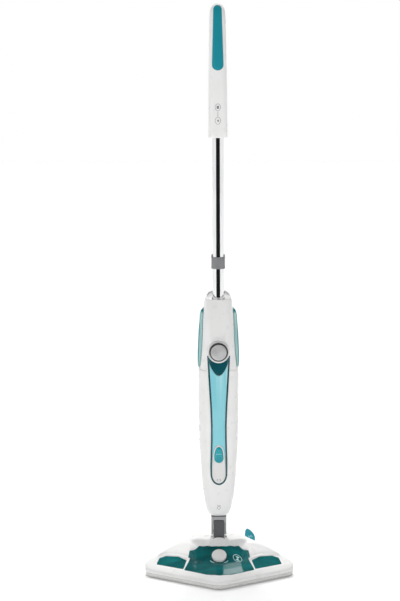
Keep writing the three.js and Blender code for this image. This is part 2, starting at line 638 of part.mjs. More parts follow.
function buildShells() {
  // The top opening slopes down to the front.
  const scoopBox = new THREE.BoxGeometry(90, 90, 40).rotateX(Math.atan2(17, 53));
  const scoop = solidOf(scoopBox.translate(0, -6.11, 603.94));
  // The inside follows every other section, and all of them at the two steps of the outside.
  const atStep = (z) => (z > 430 && z < 434) || z > 555;
  const inside = [110, ...BODY_HEIGHTS.filter((z, i) => i % 2 === 1 || atStep(z)), 600];
  const skin = bodySolid(0).subtract(sectionLoft(BODY_ROWS, inside, -WALL, BODY_POWER, 16));
  const bottomHole = rod([0, 0, 110], [0, 0, 150], 16.9, 16.9, 18);
  const shell = cut(skin, scoop, bottomHole);
  const recess = inFront(insertOutline(-GAP)).subtract(bodySolid(-1.5));
  const bezelSeat = rod([0, -70, DIAL_Z], [0, -38.4, DIAL_Z], BEZEL_R + GAP, BEZEL_R + GAP, 24);
  const spindleHole = rod([0, -70, DIAL_Z], [0, -20, DIAL_Z], 4, 4, 12);
  const buttonHole = panel(egg(-0.5), -70, -20);
  const frontHalf = block(-60, 60, -80, -0.15, 100, 620);
  const front = cut(shell.intersect(frontHalf), recess, bezelSeat, spindleHole, buttonHole);
  add(unit, "front_shell", front, MATERIALS.white);

  const rearHalf = block(-60, 60, 0.15, 90, 100, 620);
  const seatHole = rod([0, 10, OUTLET_Z], [0, 30, OUTLET_Z], 8.4, 8.4, 12);
  const latchHole = rod([0, 10, LATCH_PIN_Z], [0, 40, LATCH_PIN_Z], 5.9, 5.9, 14);
  const glandHole = rod([0, 18, GLAND_Z], [0, 40, GLAND_Z], 6.4, 6.4, 12);
  const screwHoles = REAR_SCREWS.map(([x, z]) => rod([x, 0, z], [x, 45, z], 2.2, 2.2, 10));
  const rear = cut(shell.intersect(rearHalf), seatHole, latchHole, glandHole, ...screwHoles);
  add(unit, "rear_shell", rear, MATERIALS.white);

  const bezelHole = rod([0, -70, DIAL_Z], [0, -20, DIAL_Z], BEZEL_R + 0.7, BEZEL_R + 0.7, 24);
  const frame = cut(layer(insertOutline(0), 0.9, -1.2), inFront(panelOutline(-0.3)), bezelHole);
  add(unit, "insert_frame", frame, MATERIALS.tealDark);
  const coloured = cut(layer(panelOutline(0), 0.4, -1.2), inFront(plateOutline(-0.3)));
  add(unit, "insert_panel", coloured, MATERIALS.aqua);
  const plate = cut(layer(plateOutline(0), 1.0, -1.2), inFront(egg(-0.5)));
  add(unit, "button_plate", plate, MATERIALS.white);
}

const REAR_SCREWS = [[0, 141], [0, 246]];

function buildFront() {
  const place = new THREE.Matrix4().makeRotationX(Math.PI / 2).setPosition(0, 0, DIAL_Z);
  const ringBore = DIAL_R + 0.8;
  const ring = [
    [ringBore, 38.7], [BEZEL_R, 38.7], [BEZEL_R, 44.6], [BEZEL_R - 1.2, 45.6], [ringBore, 45.6],
    [ringBore, 38.7],
  ];
  const floor = rod([0, -38.8, DIAL_Z], [0, -41.4, DIAL_Z], DIAL_R + 1.4, DIAL_R + 1.4, 24);
  const bore = rod([0, -50, DIAL_Z], [0, -30, DIAL_Z], 4, 4, 12);
  add(unit, "dial_bezel", cut(turned(ring, 32, place).add(floor), bore), MATERIALS.white);
  const dialShape = [
    [0, 42], [DIAL_R, 42], [DIAL_R, 51.4], [DIAL_R - 1.8, 53.2], [DIAL_R - 4, 52.6], [0, 54],
  ];
  const knob = turned(dialShape, 24, place);
  const spindle = rod([0, -44, DIAL_Z], [0, -30, DIAL_Z], 3, 3, 12);
  add(unit, "steam_dial", knob.add(spindle), MATERIALS.silver);
  const valve = rod([0, -38, DIAL_Z], [0, -17, DIAL_Z], 10.5, 10.5, 14);
  const valveBore = rod([0, -50, DIAL_Z], [0, -28, DIAL_Z], 3.4, 3.4, 12);
  add(unit, "flow_valve", valve.subtract(valveBore), MATERIALS.greyDark);

  const face = panel(egg(0), -50, -34).intersect(bodySolid(3.6));
  const dish = rod([0, -60, 249.4], [0, -42.6, 249.4], 7.8, 6.2, 14);
  const stem = block(-3, 3, -35, -21.5, 244, 256);
  add(unit, "release_button", cut(face, dish).add(stem), MATERIALS.teal);
  // The latch: a strip down to a ring that passes round the spigot at its groove.
  const strip = block(-6, 6, -23, -21.3, LATCH_Z, 258);
  const latchRing = slab(roundedBox(-16.2, 16.2, -23, 16, 9), LATCH_Z, LATCH_Z + 3);
  const ringHole = slab(roundedBox(-13.3, 13.3, -15.9, 12.9, 9), 150, 160, 6);
  const stemHole = block(-3.4, 3.4, -40, -20, 243.6, 256.4);
  add(unit, "release_latch", cut(strip.add(latchRing), ringHole, stemHole), MATERIALS.grey);
  const leaf = [
    [-20.9, 226], [-20.1, 226], [-14.6, 238], [-14.6, 252], [-15.4, 252], [-15.4, 238.4],
  ];
  add(unit, "button_spring", side(outline(leaf), 2.5), MATERIALS.steel);
}

function buildInside() {
  const socketShape = [[0, 121.2], [16.4, 121.2], [16.4, 140], [20, 147], [20, 172], [0, 172]];
  const socket = cut(
    turned(socketShape, 16),
    rod([0, 0, 110], [0, 0, SPIGOT_TOP + 1.5], SPIGOT_R + 0.5, SPIGOT_R + 0.5, 16),
    rod([0, 0, 150], [0, 0, 180], 4.4, 4.4, 12),
    block(-17, 17, -25, 25, LATCH_Z - 0.6, LATCH_Z + 3.6),
    block(-6.6, 6.6, -25, -17.6, 130, 180),
  );
  add(unit, "outlet_socket", socket, MATERIALS.greyDark);
  const steamRoute = [[0, 0, 172.4], [0, 2, 205], [2, 4, 240], [0, 4, 284]];
  add(unit, "steam_pipe", swept(steamRoute, 4, 4, 8), MATERIALS.hose);
  const boiler = cut(
    slab(roundedBox(-22, 22, -16, 24, 9), 285, 372),
    ...[-1, 1].map((s) => rod([s * 12, 4, 290], [s * 12, 4, 380], 3.6, 3.6, 10)),
  );
  add(unit, "boiler", boiler, MATERIALS.aluminium);
  add(unit, "thermostat", rod([22.3, 4, 330], [29, 4, 330], 8.5, 8.5, 14), MATERIALS.steel);
  const pump = unite(
    rod([0, 6, 380], [0, 6, 414], 15, 15, 16),
    rod([0, 6, 413], [0, 6, 424], 7, 7, 12),
    rod([0, 6, 375], [0, 6, 381], 6, 6, 12),
  );
  add(unit, "pump", pump, MATERIALS.greyDark);
  const mountHole = rod([0, 6, 380], [0, 6, 410], 15.4, 15.4, 16);
  const pumpMount = slab(roundedBox(-26, 26, -13, 25, 6), 392, 400).subtract(mountHole);
  add(unit, "pump_mount", pumpMount, MATERIALS.rubber);
  const waterRoute = [[0, 10.2, OUTLET_Z], [0, 8, 444.6], [0, 6, 438], [0, 6, 424.4]];
  add(unit, "water_hose", swept(waterRoute, 2.6, 2.6, 8, 6), MATERIALS.hose);
  const feed = [
    [14, -9.5, 373], [14, -11, 377], [15, -18, 388], [15, -19, 402], [15, -21, 440], [13.6, -26, 466],
  ];
  add(unit, "feed_hose", swept(feed, 2.4, 2.4, 14, 6), MATERIALS.hose);
  const chips = [[-14, 345], [4, 372], [-8, 388]].map(([x, z]) => block(x, x + 10, -33, -28, z, z + 8));
  add(unit, "control_board", unite(block(-21, 21, -35, -33, 305, 402), ...chips), MATERIALS.board);

  const seat = [[5.7, 0], [8, 0], [8, 6], [10, 6], [10, 8.4], [5.7, 8.4], [5.7, 0]];
  const seatPlace = new THREE.Matrix4().makeRotationX(Math.PI / 2).setPosition(0, 22.2, OUTLET_Z);
  add(unit, "tank_seat", turned(seat, 20, seatPlace), MATERIALS.rubber);

  const floorPlate = sectionLoft(BODY_ROWS, [560, 563], -WALL - GAP, BODY_POWER, 16);
  const tube = rod([0, 0, 500], [0, 0, 562], 15, 15, 18);
  const poleBore = rod([0, 0, 502], [0, 0, 600], POLE_R + 0.4, POLE_R + 0.4, 18);
  const wireHole = rod([0, 0, 490], [0, 0, 510], 9, 9, 14);
  add(unit, "pole_socket", cut(floorPlate.add(tube), poleBore, wireHole), MATERIALS.grey);
  const latchPin = rod([0, 14.6, LATCH_PIN_Z], [0, 24.6, LATCH_PIN_Z], 4, 4, 12);
  const latchHead = rod([0, 24.4, LATCH_PIN_Z], [0, 31, LATCH_PIN_Z], 5.5, 5.2, 14);
  add(unit, "pole_latch", latchPin.add(latchHead), MATERIALS.grey);
  REAR_SCREWS.forEach(([x, z], i) => {
    const depth = rearDepth(x, z);
    const screw = rod([x, depth - 8, z], [x, depth - 0.6, z], 1.6, 1.6, 10);
    const screwHead = rod([x, depth - 2, z], [x, depth - 0.5, z], 1.9, 1.9, 10);
    add(unit, "rear_screw_" + (i + 1), screw.add(screwHead), MATERIALS.steel);
  });
}

// How far behind the axis the unit's surface is at a point.
function rearDepth(x, z) {
  const share = Math.abs(x) / lookup(BODY_ROWS, z, 1);
  return lookup(BODY_ROWS, z, 3) * (1 - share ** BODY_POWER) ** (1 / BODY_POWER);
}

function buildRear() {
  const clear = bodySolid(GAP);
  const bow = [
    [0, 24, 412], [0, 50, 409], [0, 69, 394], [0, 74, 345], [0, 67, 296], [0, 48, 276], [0, 24, 272],
  ];
  add(unit, "carry_handle", swept(bow, 8.5, 11, 18, 10).subtract(clear), MATERIALS.white);
  const foot = roundedBox(-9, 9, 206, 226, 3);
  const hook = side(outline([
    [24, 213], [58, 213], [58, 186], [62.5, 184], [62.5, 214], [59, 218.5], [24, 218.5],
  ]), 7);
  add(unit, "lower_cord_hook", unite(hook, panel(foot, 24, 35)).subtract(clear), MATERIALS.grey);
  const gland = rod([0, 20, GLAND_Z], [0, 27.6, GLAND_Z], 6, 6, 12)
    .add(rod([0, 27.4, GLAND_Z], [0, 46, GLAND_Z - 4], 7.4, 5, 12))
    .subtract(rod([0, 10, 161], [0, 60, 153], 3.4, 3.4, 12));
  const wall = bodySolid(GAP).subtract(rod([0, 0, GLAND_Z], [0, 60, GLAND_Z], 6.1, 6.1, 12));
  add(unit, "cable_gland", gland.subtract(wall), MATERIALS.greyDark);
}

function buildTank() {
  const heights = TANK_ROWS.map((row) => row[0]);
  const outer = sectionLoft(TANK_ROWS, heights, 0, BODY_POWER, 20);
  const wall = 2.2;
  const insideHeights = [TANK_FLOOR + wall, ...heights.slice(2, -1), TANK_TOP - wall];
  const inside = sectionLoft(TANK_ROWS, insideHeights, -wall, BODY_POWER, 16);
  const core = (offset) => bodySolid(offset, 433.6, 560);
  const behind = (y) => block(-60, 60, y, 90, 400, 600);
  const shell = outer.intersect(behind(0.5)).subtract(core(0.6));
  const cavity = inside.intersect(behind(2.7)).subtract(core(2.8));
  const neck = rod([0, 48, CAP_Z], [0, 60.5, CAP_Z], 14, 14, 16);
  const mouth = rod([0, 40, CAP_Z], [0, 70, CAP_Z], 11.5, 11.5, 16);
  const spout = rod([0, 10.6, OUTLET_Z], [0, 25.4, OUTLET_Z], 5.3, 5.3, 12);
  const outlet = spout.subtract(rod([0, 0, OUTLET_Z], [0, 30, OUTLET_Z], 3, 3, 12));
  const drain = rod([0, 20, OUTLET_Z], [0, 30, OUTLET_Z], 3, 3, 12);
  const vessel = unite(shell.subtract(cavity), neck.subtract(inside), outlet);
  add(tank, "water_tank", vessel.subtract(mouth).subtract(drain), MATERIALS.tank);

  const hinge = rod([-7, 62.4, CAP_Z + 17], [7, 62.4, CAP_Z + 17], 2, 2, 12);
  const disc = rod([0, 60.9, CAP_Z], [0, 64.6, CAP_Z], 15, 14.2, 18);
  const lid = disc.add(block(-7, 7, 61, 64, CAP_Z + 10, CAP_Z + 17));
  const plug = rod([0, 55, CAP_Z], [0, 61, CAP_Z], 9.8, 11.1, 14);
  const tongue = block(-5, 5, 61.4, 65, CAP_Z - 18.5, CAP_Z - 10);
  add(tank, "tank_cap", unite(lid, plug, hinge, tongue), MATERIALS.teal);
}

// ---------- pole and handle ----------

const HANDLE_HEIGHTS = HANDLE_ROWS.map((row) => row[0]);

function gripOutline(inset) {
  const shape = new THREE.Shape();
  const [top, low] = [8.8 - inset, 11.8 - inset];
  shape.absellipse(0, 1055, low, 11.6 - inset, -Math.PI, 0, false);
  shape.lineTo(top, 1163);
  shape.absellipse(0, 1163, top, 9 - inset, 0, Math.PI, false);
  return shape;
}

function buildHandle() {
  const insideHeights = [912, ...HANDLE_HEIGHTS.slice(1, -2), 1172];
  const inner = sectionLoft(HANDLE_ROWS, insideHeights, -2.4, HANDLE_POWER, 12);
  const socket = rod([0, 0, 900], [0, 0, POLE_TOP + 1], POLE_R + 0.4, POLE_R + 0.4, 18);
  const solid = (offset) => sectionLoft(HANDLE_ROWS, HANDLE_HEIGHTS, offset, HANDLE_POWER, 20);
  const gripPrism = (inset) => panel(gripOutline(inset), -60, 14);
  const halves = [-1, 1].map((facing) => {
    const splitter = loft([890, ...HANDLE_HEIGHTS, 1200].map((z) => {
      const seam = lookup(HANDLE_ROWS, z, 4) + facing * 0.15;
      const [near, far] = facing > 0 ? [seam, seam + 60] : [seam - 60, seam];
      const corners = [[-60, near], [60, near], [60, far], [-60, far]];
      return corners.map(([x, y]) => new THREE.Vector3(x, y, z));
    }));
    return solid(0).intersect(splitter).subtract(inner);
  });
  const hookHole = rod([0, 0, HOOK_Z], [0, 30, HOOK_Z], 3.4, 3.4, 12);
  const screwHole = rod([0, 0, SCREW_Z], [0, 30, SCREW_Z], 2.3, 2.3, 10);
  const recess = gripPrism(-GAP).subtract(solid(-1.4));
  add(handle, "handle_front", cut(halves[0], recess, socket), MATERIALS.white);
  add(handle, "handle_rear", cut(halves[1], hookHole, screwHole, socket), MATERIALS.white);
  const gripInsert = gripPrism(0).intersect(solid(1.5)).subtract(solid(-1.1));
  add(handle, "grip_insert", gripInsert, MATERIALS.teal);
  const screw = rod([0, 12.6, SCREW_Z], [0, 16, SCREW_Z], 1.8, 1.8, 10);
  add(handle, "handle_screw", screw, MATERIALS.steel);
  const tube = rod([0, 0, POLE_BOTTOM], [0, 0, POLE_TOP], POLE_R, POLE_R, 24);
  const tubeBore = rod([0, 0, 490], [0, 0, 1000], POLE_R - 1.1, POLE_R - 1.1, 24);
  add(pole, "pole_tube", tube.subtract(tubeBore), MATERIALS.chrome);
}

function buildCordHooks() {
  const band = rod([0, 0, CLIP_BOTTOM], [0, 0, CLIP_TOP], CLIP_R, CLIP_R, 18);
  const prongs = [-1, 1].map((s) => {
    const centre = s * 13.3;
    return block(centre - 0.9, centre + 0.9, -3.5, 3.5, CLIP_TOP - 2, CLIP_TOP + 4.8);
  });
  const arm = outline([
    [10, 646], [34, 646], [38.5, 650], [38.5, 676], [35, 678], [34, 652], [10, 652],
  ]);
  const bore = rod([0, 0, 600], [0, 0, 700], POLE_R + 0.4, POLE_R + 0.4, 18);
  add(pole, "cord_clip", cut(unite(band, ...prongs, side(arm, 6)), bore), MATERIALS.grey);

  const stem = rod([0, 12.2, HOOK_Z], [0, 18, HOOK_Z], 3, 3, 12);
  const pivot = stem.add(rod([0, 12.2, HOOK_Z], [0, 13.6, HOOK_Z], 5, 5, 12));
  const disc = rod([0, 17.5, HOOK_Z], [0, 21.5, HOOK_Z], 11, 10, 16);
  const reach = outline([
    [20, 931], [46, 931], [51, HOOK_Z], [51, 966], [46.5, 969], [46, 938], [20, 938],
  ]);
  add(handle, "upper_cord_hook", unite(pivot, disc, side(reach, 7)), MATERIALS.grey);
}

buildHead();
buildScentKnob();
buildNeck();
buildShells();
buildFront();
buildInside();
buildRear();
buildTank();
buildHandle();
buildCordHooks();

export default mop;
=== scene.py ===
import json
import math

import bmesh
import bpy
import numpy as np
from mathutils import Matrix, Vector
from mathutils.geometry import delaunay_2d_cdt


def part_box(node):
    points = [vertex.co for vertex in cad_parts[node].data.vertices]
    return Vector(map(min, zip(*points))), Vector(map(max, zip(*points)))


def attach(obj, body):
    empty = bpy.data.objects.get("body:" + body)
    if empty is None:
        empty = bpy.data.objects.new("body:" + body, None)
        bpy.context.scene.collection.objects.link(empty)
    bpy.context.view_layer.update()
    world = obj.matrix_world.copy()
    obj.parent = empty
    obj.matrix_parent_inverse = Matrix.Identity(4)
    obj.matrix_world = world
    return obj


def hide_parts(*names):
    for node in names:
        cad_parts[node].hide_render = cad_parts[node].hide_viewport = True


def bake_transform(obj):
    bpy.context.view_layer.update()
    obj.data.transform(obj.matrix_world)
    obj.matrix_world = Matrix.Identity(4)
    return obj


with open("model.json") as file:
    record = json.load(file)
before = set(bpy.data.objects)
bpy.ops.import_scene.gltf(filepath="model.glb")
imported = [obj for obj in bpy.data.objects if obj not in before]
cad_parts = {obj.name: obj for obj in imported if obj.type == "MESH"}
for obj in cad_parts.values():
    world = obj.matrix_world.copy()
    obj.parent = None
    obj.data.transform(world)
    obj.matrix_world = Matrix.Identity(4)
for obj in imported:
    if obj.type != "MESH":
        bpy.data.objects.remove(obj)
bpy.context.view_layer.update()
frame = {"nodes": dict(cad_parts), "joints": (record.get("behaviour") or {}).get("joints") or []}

# Looks of the steam mop. Shapes are worked out in millimetres and become metres in solid().
# The front faces -Y and the floor is z = 0.

MM = 0.001
SEAM = 0.15  # half the gap where two mouldings meet
GAP = 0.3
WALL = 2.6

# ---------- sizes that the CAD model has too ----------

# Steam unit: height, half width, depth in front of the axis, depth behind it.
BODY_ROWS = [
    [120.8, 17.3, 17.3, 17.3], [124, 21.4, 21.6, 21.2], [139, 26.6, 27, 25.5], [172, 32.4, 32, 29],
    [205, 35.6, 36, 31], [236, 37.7, 39, 32.5], [300, 41, 43, 34.5], [360, 41.6, 44, 35],
    [428, 41.5, 44, 35], [432, 41, 44, 34.6], [433.6, 38.4, 44, 22], [490, 33.4, 42.2, 22],
    [531, 31.8, 38.2, 22], [556.5, 30.2, 33.4, 22.5], [558.5, 29.9, 32.8, 28.8], [575, 28, 28.6, 28.2],
    [585, 25.2, 27, 27], [594, 21.6, 25, 25.6],
]
TANK_ROWS = [
    [434.2, 41, 20, 51], [437, 42.6, 20, 55], [450, 43, 20, 57.2], [500, 41.4, 20, 58],
    [531, 39.2, 20, 56], [545, 38.2, 20, 53], [552, 36.4, 20, 49], [556.5, 33.4, 20, 43],
]
# Handle: height, half width, depth in front, depth behind, centre line's Y.
HANDLE_ROWS = [
    [908, 19.6, 15.5, 16.5, 0], [985, 19.2, 15.5, 16.3, 1.2], [1060, 18.2, 15.5, 15.5, 7.5],
    [1110, 17.4, 15.5, 15.5, 14.5], [1150, 16.6, 15, 15, 21], [1166, 15, 13.5, 13.5, 24],
    [1175, 10.4, 9.4, 9.4, 25.8], [1178.3, 5.8, 5.2, 5.2, 26.4], [1179.4, 0.6, 0.6, 0.6, 26.6],
]
# Head's top: height against distance from the front edge; the ridge's, against distance from the middle.
HEAD_MIDDLE = [[0, 13], [17, 22.5], [40, 27.5], [62, 33], [92, 57], [99, 70], [108, 77], [130, 80]]
HEAD_WING = [[0, 13], [17, 22.5], [46, 35], [50, 39.5], [62, 46.5], [84, 58], [110, 64]]
HEAD_RIDGE = [[0, 68.5], [44, 67.5], [54, 64.5], [69, 60.5], [90, 55], [104, 51], [128, 42.5], [138, 39],
              [150, 30], [157, 24]]
LIP_HEIGHT = 7.5
POCKET_FRONT = -21.3
HEAD_FRONT_Y = -139
HEAD_BACK_Y = 42
HEAD_CORNER = (160, -44)
MIDDLE_WINDOW = [(0, -29), (16, -27.4), (22, -25.4), (30, -19.6), (41.7, -13.6), (54, -22), (61.5, -27.8),
                 (64.5, -46.4), (60.2, -47.2), (72.6, -78), (25, -106.7), (0, -113.5)]
WING_WINDOW = [(67.8, -49.8), (84.6, -35.7), (112.5, -22.4), (125.4, -24.1), (130.8, -41.8), (74.6, -74.7)]
FRAME_SIDE = [(23.5, 464), (22.2, 440), (20, 400), (17.4, 355), (16.2, 320), (16.3, 290), (17.2, 255),
              (17.8, 232), (17.4, 215)]
PANEL_TOP = [(19.4, 449), (13, 434), (5, 424.2), (0, 422.6)]
DIAL_Z = 472.5
DIAL_R = 18.7
BEZEL_R = 22.6
POLE_R = 11.9
CLIP_R = 14.2
JOINT_Z = 84
CAP_Z = 524
HOOK_Z = 936
SCREW_Z = 975  # the handle's screw
OUTLET_Z = 446  # the tank's outlet
LATCH_Z = 573  # the pole's catch
GLAND_Z = 160


# ---------- camera ----------

def camera():
    data = bpy.data.cameras.new("camera")
    data.lens = 84.6
    data.sensor_width = 36
    made = bpy.data.objects.new("camera", data)
    made.location = (-0.0363, -2.9, 0.94)
    made.rotation_euler = (math.radians(90 - 7.2), math.radians(0.23), 0)
    bpy.context.scene.collection.objects.link(made)
    bpy.context.scene.camera = made


camera()


# ---------- curves and outlines ----------

def curve(rows, column=1):
    """A cubic through a table's column that never overshoots."""
    x = np.array([row[0] for row in rows], float)
    y = np.array([row[column] for row in rows], float)
    slope = np.diff(y) / np.diff(x)
    before, after = slope[:-1], slope[1:]
    same = before * after > 0
    inner = np.where(same, 2 * before * after / np.where(same, before + after, 1), 0)
    tangent = np.concatenate([slope[:1], inner, slope[-1:]])

    def at(value):
        value = np.clip(value, x[0], x[-1])
        i = np.clip(np.searchsorted(x, value, side="right") - 1, 0, len(x) - 2)
        span = x[i + 1] - x[i]
        t = (value - x[i]) / span
        bend = (1 - t) * tangent[i] - t * tangent[i + 1]
        return y[i] + (y[i + 1] - y[i]) * t * t * (3 - 2 * t) + t * (1 - t) * span * bend
    return at


def facets(rows, spread):
    """Straight runs through a table, with the corners rounded over a spread."""
    x, y = np.array(rows, float).T
    shifts = np.linspace(-spread, spread, 9)
    return lambda at: np.mean([np.interp(at + shift, x, y) for shift in shifts], axis=0)


def smoothstep(value, low, high):
    t = np.clip((value - low) / (high - low), 0, 1)
    return t * t * (3 - 2 * t)


def soft_min(a, b, blend):
    share = np.clip(0.5 + 0.5 * (b - a) / blend, 0, 1)
    return b + (a - b) * share - 0.5 * blend * share * (1 - share)


def bezier(*points, steps=12):
    """The curve's points after its first, for two, three or four control points."""
    made = []
    for t in np.linspace(0, 1, steps + 1)[1:]:
        level = [np.array(p, float) for p in points]
        while len(level) > 1:
            level = [a + (b - a) * t for a, b in zip(level, level[1:])]
        made.append(tuple(level[0]))
    return made


def ellipse(cx, cy, rx, ry, start=0, end=360, steps=48):
    turns = np.radians(np.linspace(start, end, steps + 1))
    points = [(cx + rx * math.cos(t), cy + ry * math.sin(t)) for t in turns]
    return points[:-1] if end - start == 360 else points


def mirrored(points):
    return list(points) + [(-x, y) for x, y in reversed(points) if abs(x) > 1e-6]


def soften(points, radius, steps=4, closed=True):
    """A polyline with its corners rounded."""
    p = np.array(points, float)
    made = [] if closed else [tuple(p[0])]
    for i in range(0 if closed else 1, len(p) if closed else len(p) - 1):
        before, here, after = p[i - 1], p[i], p[(i + 1) % len(p)]
        reach = [min(radius, 0.45 * np.linalg.norm(q - here)) for q in (before, after)]
        into, out = [here + (q - here) / max(np.linalg.norm(q - here), 1e-9) * r
                     for q, r in zip((before, after), reach)]
        made += [tuple(into)] + bezier(into, here, out, steps=steps)
    return made if closed else made + [tuple(p[-1])]


def dense(points, step):
    """A closed outline with no run longer than a step."""
    made = []
    for a, b in zip(points, list(points[1:]) + [points[0]]):
        a, b = np.array(a, float), np.array(b, float)
        count = max(1, math.ceil(np.linalg.norm(b - a) / step))
        made += [a + (b - a) * k / count for k in range(count)]
    keep = [i for i, p in enumerate(made) if np.linalg.norm(p - made[i - 1]) > 1e-4]
    return np.array([made[i] for i in keep])


def area(loop):
    x, y = np.array(loop).T
    return 0.5 * np.sum(x * np.roll(y, -1) - np.roll(x, -1) * y)


def inset(loop, amount):
    """A closed outline moved in by an amount, or out if it is negative."""
    loop = np.array(loop, float)
    run = np.roll(loop, -1, 0) - np.roll(loop, 1, 0)
    normal = np.stack([-run[:, 1], run[:, 0]], 1) / np.maximum(np.linalg.norm(run, axis=1), 1e-9)[:, None]
    return loop + normal * amount * np.sign(area(loop))


def stroke(points, width):
    """The outline of a drawn line."""
    p = np.array(points, float)
    run = np.gradient(p, axis=0)
    normal = np.stack([-run[:, 1], run[:, 0]], 1) / np.linalg.norm(run, axis=1)[:, None]
    return [tuple(q) for q in np.concatenate([p + normal * width / 2, (p - normal * width / 2)[::-1]])]


def inside(points, loop):
    """Which points lie inside a closed outline."""
    x, y = points[:, 0:1], points[:, 1:2]
    x0, y0 = loop.T
    x1, y1 = np.roll(loop, -1, 0).T
    crosses = (y0 > y) != (y1 > y)
    with np.errstate(divide="ignore", invalid="ignore"):
        at = x0 + (y - y0) * (x1 - x0) / (y1 - y0)
    return (np.sum(crosses & (x < at), axis=1) % 2) == 1


def distance(points, loop, closed=True):
    """How far each point is from an outline."""
    a = loop if closed else loop[:-1]
    b = np.roll(loop, -1, 0) if closed else loop[1:]
    best = np.full(len(points), 1e9)
    for start, end in zip(a, b):
        run = end - start
        t = np.clip(((points - start) @ run) / max(run @ run, 1e-12), 0, 1)
        best = np.minimum(best, np.linalg.norm(points - start - t[:, None] * run, axis=1))
    return best


# ---------- meshes: each function returns (points, faces) ----------

def merge(*parts):
    points, faces, base = [], [], 0
    for p, f in parts:
        points.append(np.asarray(p, float))
        faces += [[i + base for i in face] for face in f]
        base += len(p)
    return np.concatenate(points), faces


def rings(loops, caps="fan"):
    """A skin through closed loops of equal count. caps: "fan" closes both ends, "wall" closes each end
    between its halves, and "loop" joins the last loop to the first."""
    count = len(loops[0])
    points = np.concatenate([np.asarray(loop, float) for loop in loops])
    faces = []
    for r in range(len(loops) - 1):
        for i in range(count):
            a, b = r * count + i, r * count + (i + 1) % count
            faces.append([a, b, b + count, a + count])
    last = (len(loops) - 1) * count
    if caps == "fan":
        faces += [list(range(count))[::-1], list(range(last, last + count))]
    if caps == "wall":
        for base in (0, last):
            for i in range(count // 2 - 1):
                a, b = base + i, base + count - 1 - i
                faces.append([a, a + 1, b - 1, b])
    if caps == "loop":
        for i in range(count):
            a, b = last + i, last + (i + 1) % count
            faces.append([a, b, (i + 1) % count, i])
    return points, faces


def turned(profile, sides=64, place=None, caps="fan"):
    """A turned piece about +Z: radius and height."""
    turns = np.linspace(0, 2 * math.pi, sides, endpoint=False)
    loops = [np.stack([r * np.cos(turns), r * np.sin(turns), np.full(sides, h)], 1) for r, h in profile]
    points, faces = rings(loops, caps)
    return moved((points, faces), place)


def moved(part, place):
    if place is None:
        return part
    points, faces = part
    m = np.array(place)
    return points @ m[:3, :3].T + m[:3, 3], faces


def flat(outline, low, high, radius=0.0):
    """A flat outline raised from low to high, its edges rounded."""
    loop = np.array(outline, float)
    turns = np.radians([0, 30, 60, 90]) if radius else [math.pi / 2]
    lower = [(radius * (1 - math.sin(t)), low + radius * (1 - math.cos(t))) for t in turns]
    upper = [(i, low + high - h) for i, h in reversed(lower)]
    loops = []
    for amount, height in lower + upper:
        at = inset(loop, amount) if amount else loop
        loops.append(np.column_stack([at, np.full(len(at), height)]))
    return rings(loops)


def upright(outline, near, far, radius):
    """A flat outline in X and Z between two depths, its edges rounded."""
    points, faces = flat(outline, near, far, radius)
    return points[:, [0, 2, 1]], faces


def sideways(outline, half, radius):
    """A flat outline in Y and Z, as wide as half on each side of the middle."""
    points, faces = flat(outline, -half, half, radius)
    return points[:, [2, 0, 1]], faces


def rounded(x0, x1, y0, y1, radius, steps=6):
    return soften([(x0, y0), (x1, y0), (x1, y1), (x0, y1)], radius * 1.2, steps)


def block(x0, x1, y0, y1, z0, z1):
    return flat([(x0, y0), (x1, y0), (x1, y1), (x0, y1)], z0, z1)


def aimed(start, end):
    """The placement that takes +Z from one point toward another."""
    turn = (Vector(end) - Vector(start)).to_track_quat("Z", "Y").to_matrix().to_4x4()
    return Matrix.Translation(Vector(start)) @ turn


TO_REAR = Matrix.Rotation(-math.pi / 2, 4, "X")


def bar(start, end, r0, r1=None, sides=32):
    """A round bar from one point to another."""
    length = (Vector(end) - Vector(start)).length
    return turned([(r0, 0), (r0 if r1 is None else r1, length)], sides, aimed(start, end))


def hoop(r0, r1, z0, z1, radius, sides, place=None):
    """A ring with rounded edges about +Z."""
    profile = soften([(r0, z0), (r1, z0), (r1, z1), (r0, z1)], radius)
    return turned(profile, sides, place, "loop")


def swept(path, half_x, half_y, sides=20, steps=48, squareness=2.0):
    """An oblong section along a smooth path in the YZ plane or nearly so."""
    control = np.array(path, float)
    spread = np.concatenate([[0], np.cumsum(np.linalg.norm(np.diff(control, axis=0), axis=1))])
    at = np.linspace(0, spread[-1], steps)
    line = np.stack([curve(np.column_stack([spread, control[:, k]]))(at) for k in range(3)], 1)
    for _ in range(6):
        line[1:-1] = (line[:-2] + 2 * line[1:-1] + line[2:]) / 4
    run = np.gradient(line, axis=0)
    run /= np.linalg.norm(run, axis=1)[:, None]
    across = np.array([1.0, 0, 0])
    turns = np.linspace(0, 2 * math.pi, sides, endpoint=False)
    u = np.sign(np.cos(turns)) * np.abs(np.cos(turns)) ** (2 / squareness) * half_x
    v = np.sign(np.sin(turns)) * np.abs(np.sin(turns)) ** (2 / squareness) * half_y
    loops = []
    for point, along in zip(line, run):
        side = across - along * (across @ along)
        side /= np.linalg.norm(side)
        up = np.cross(along, side)
        loops.append(point + u[:, None] * side + v[:, None] * up)
    return rings(loops)


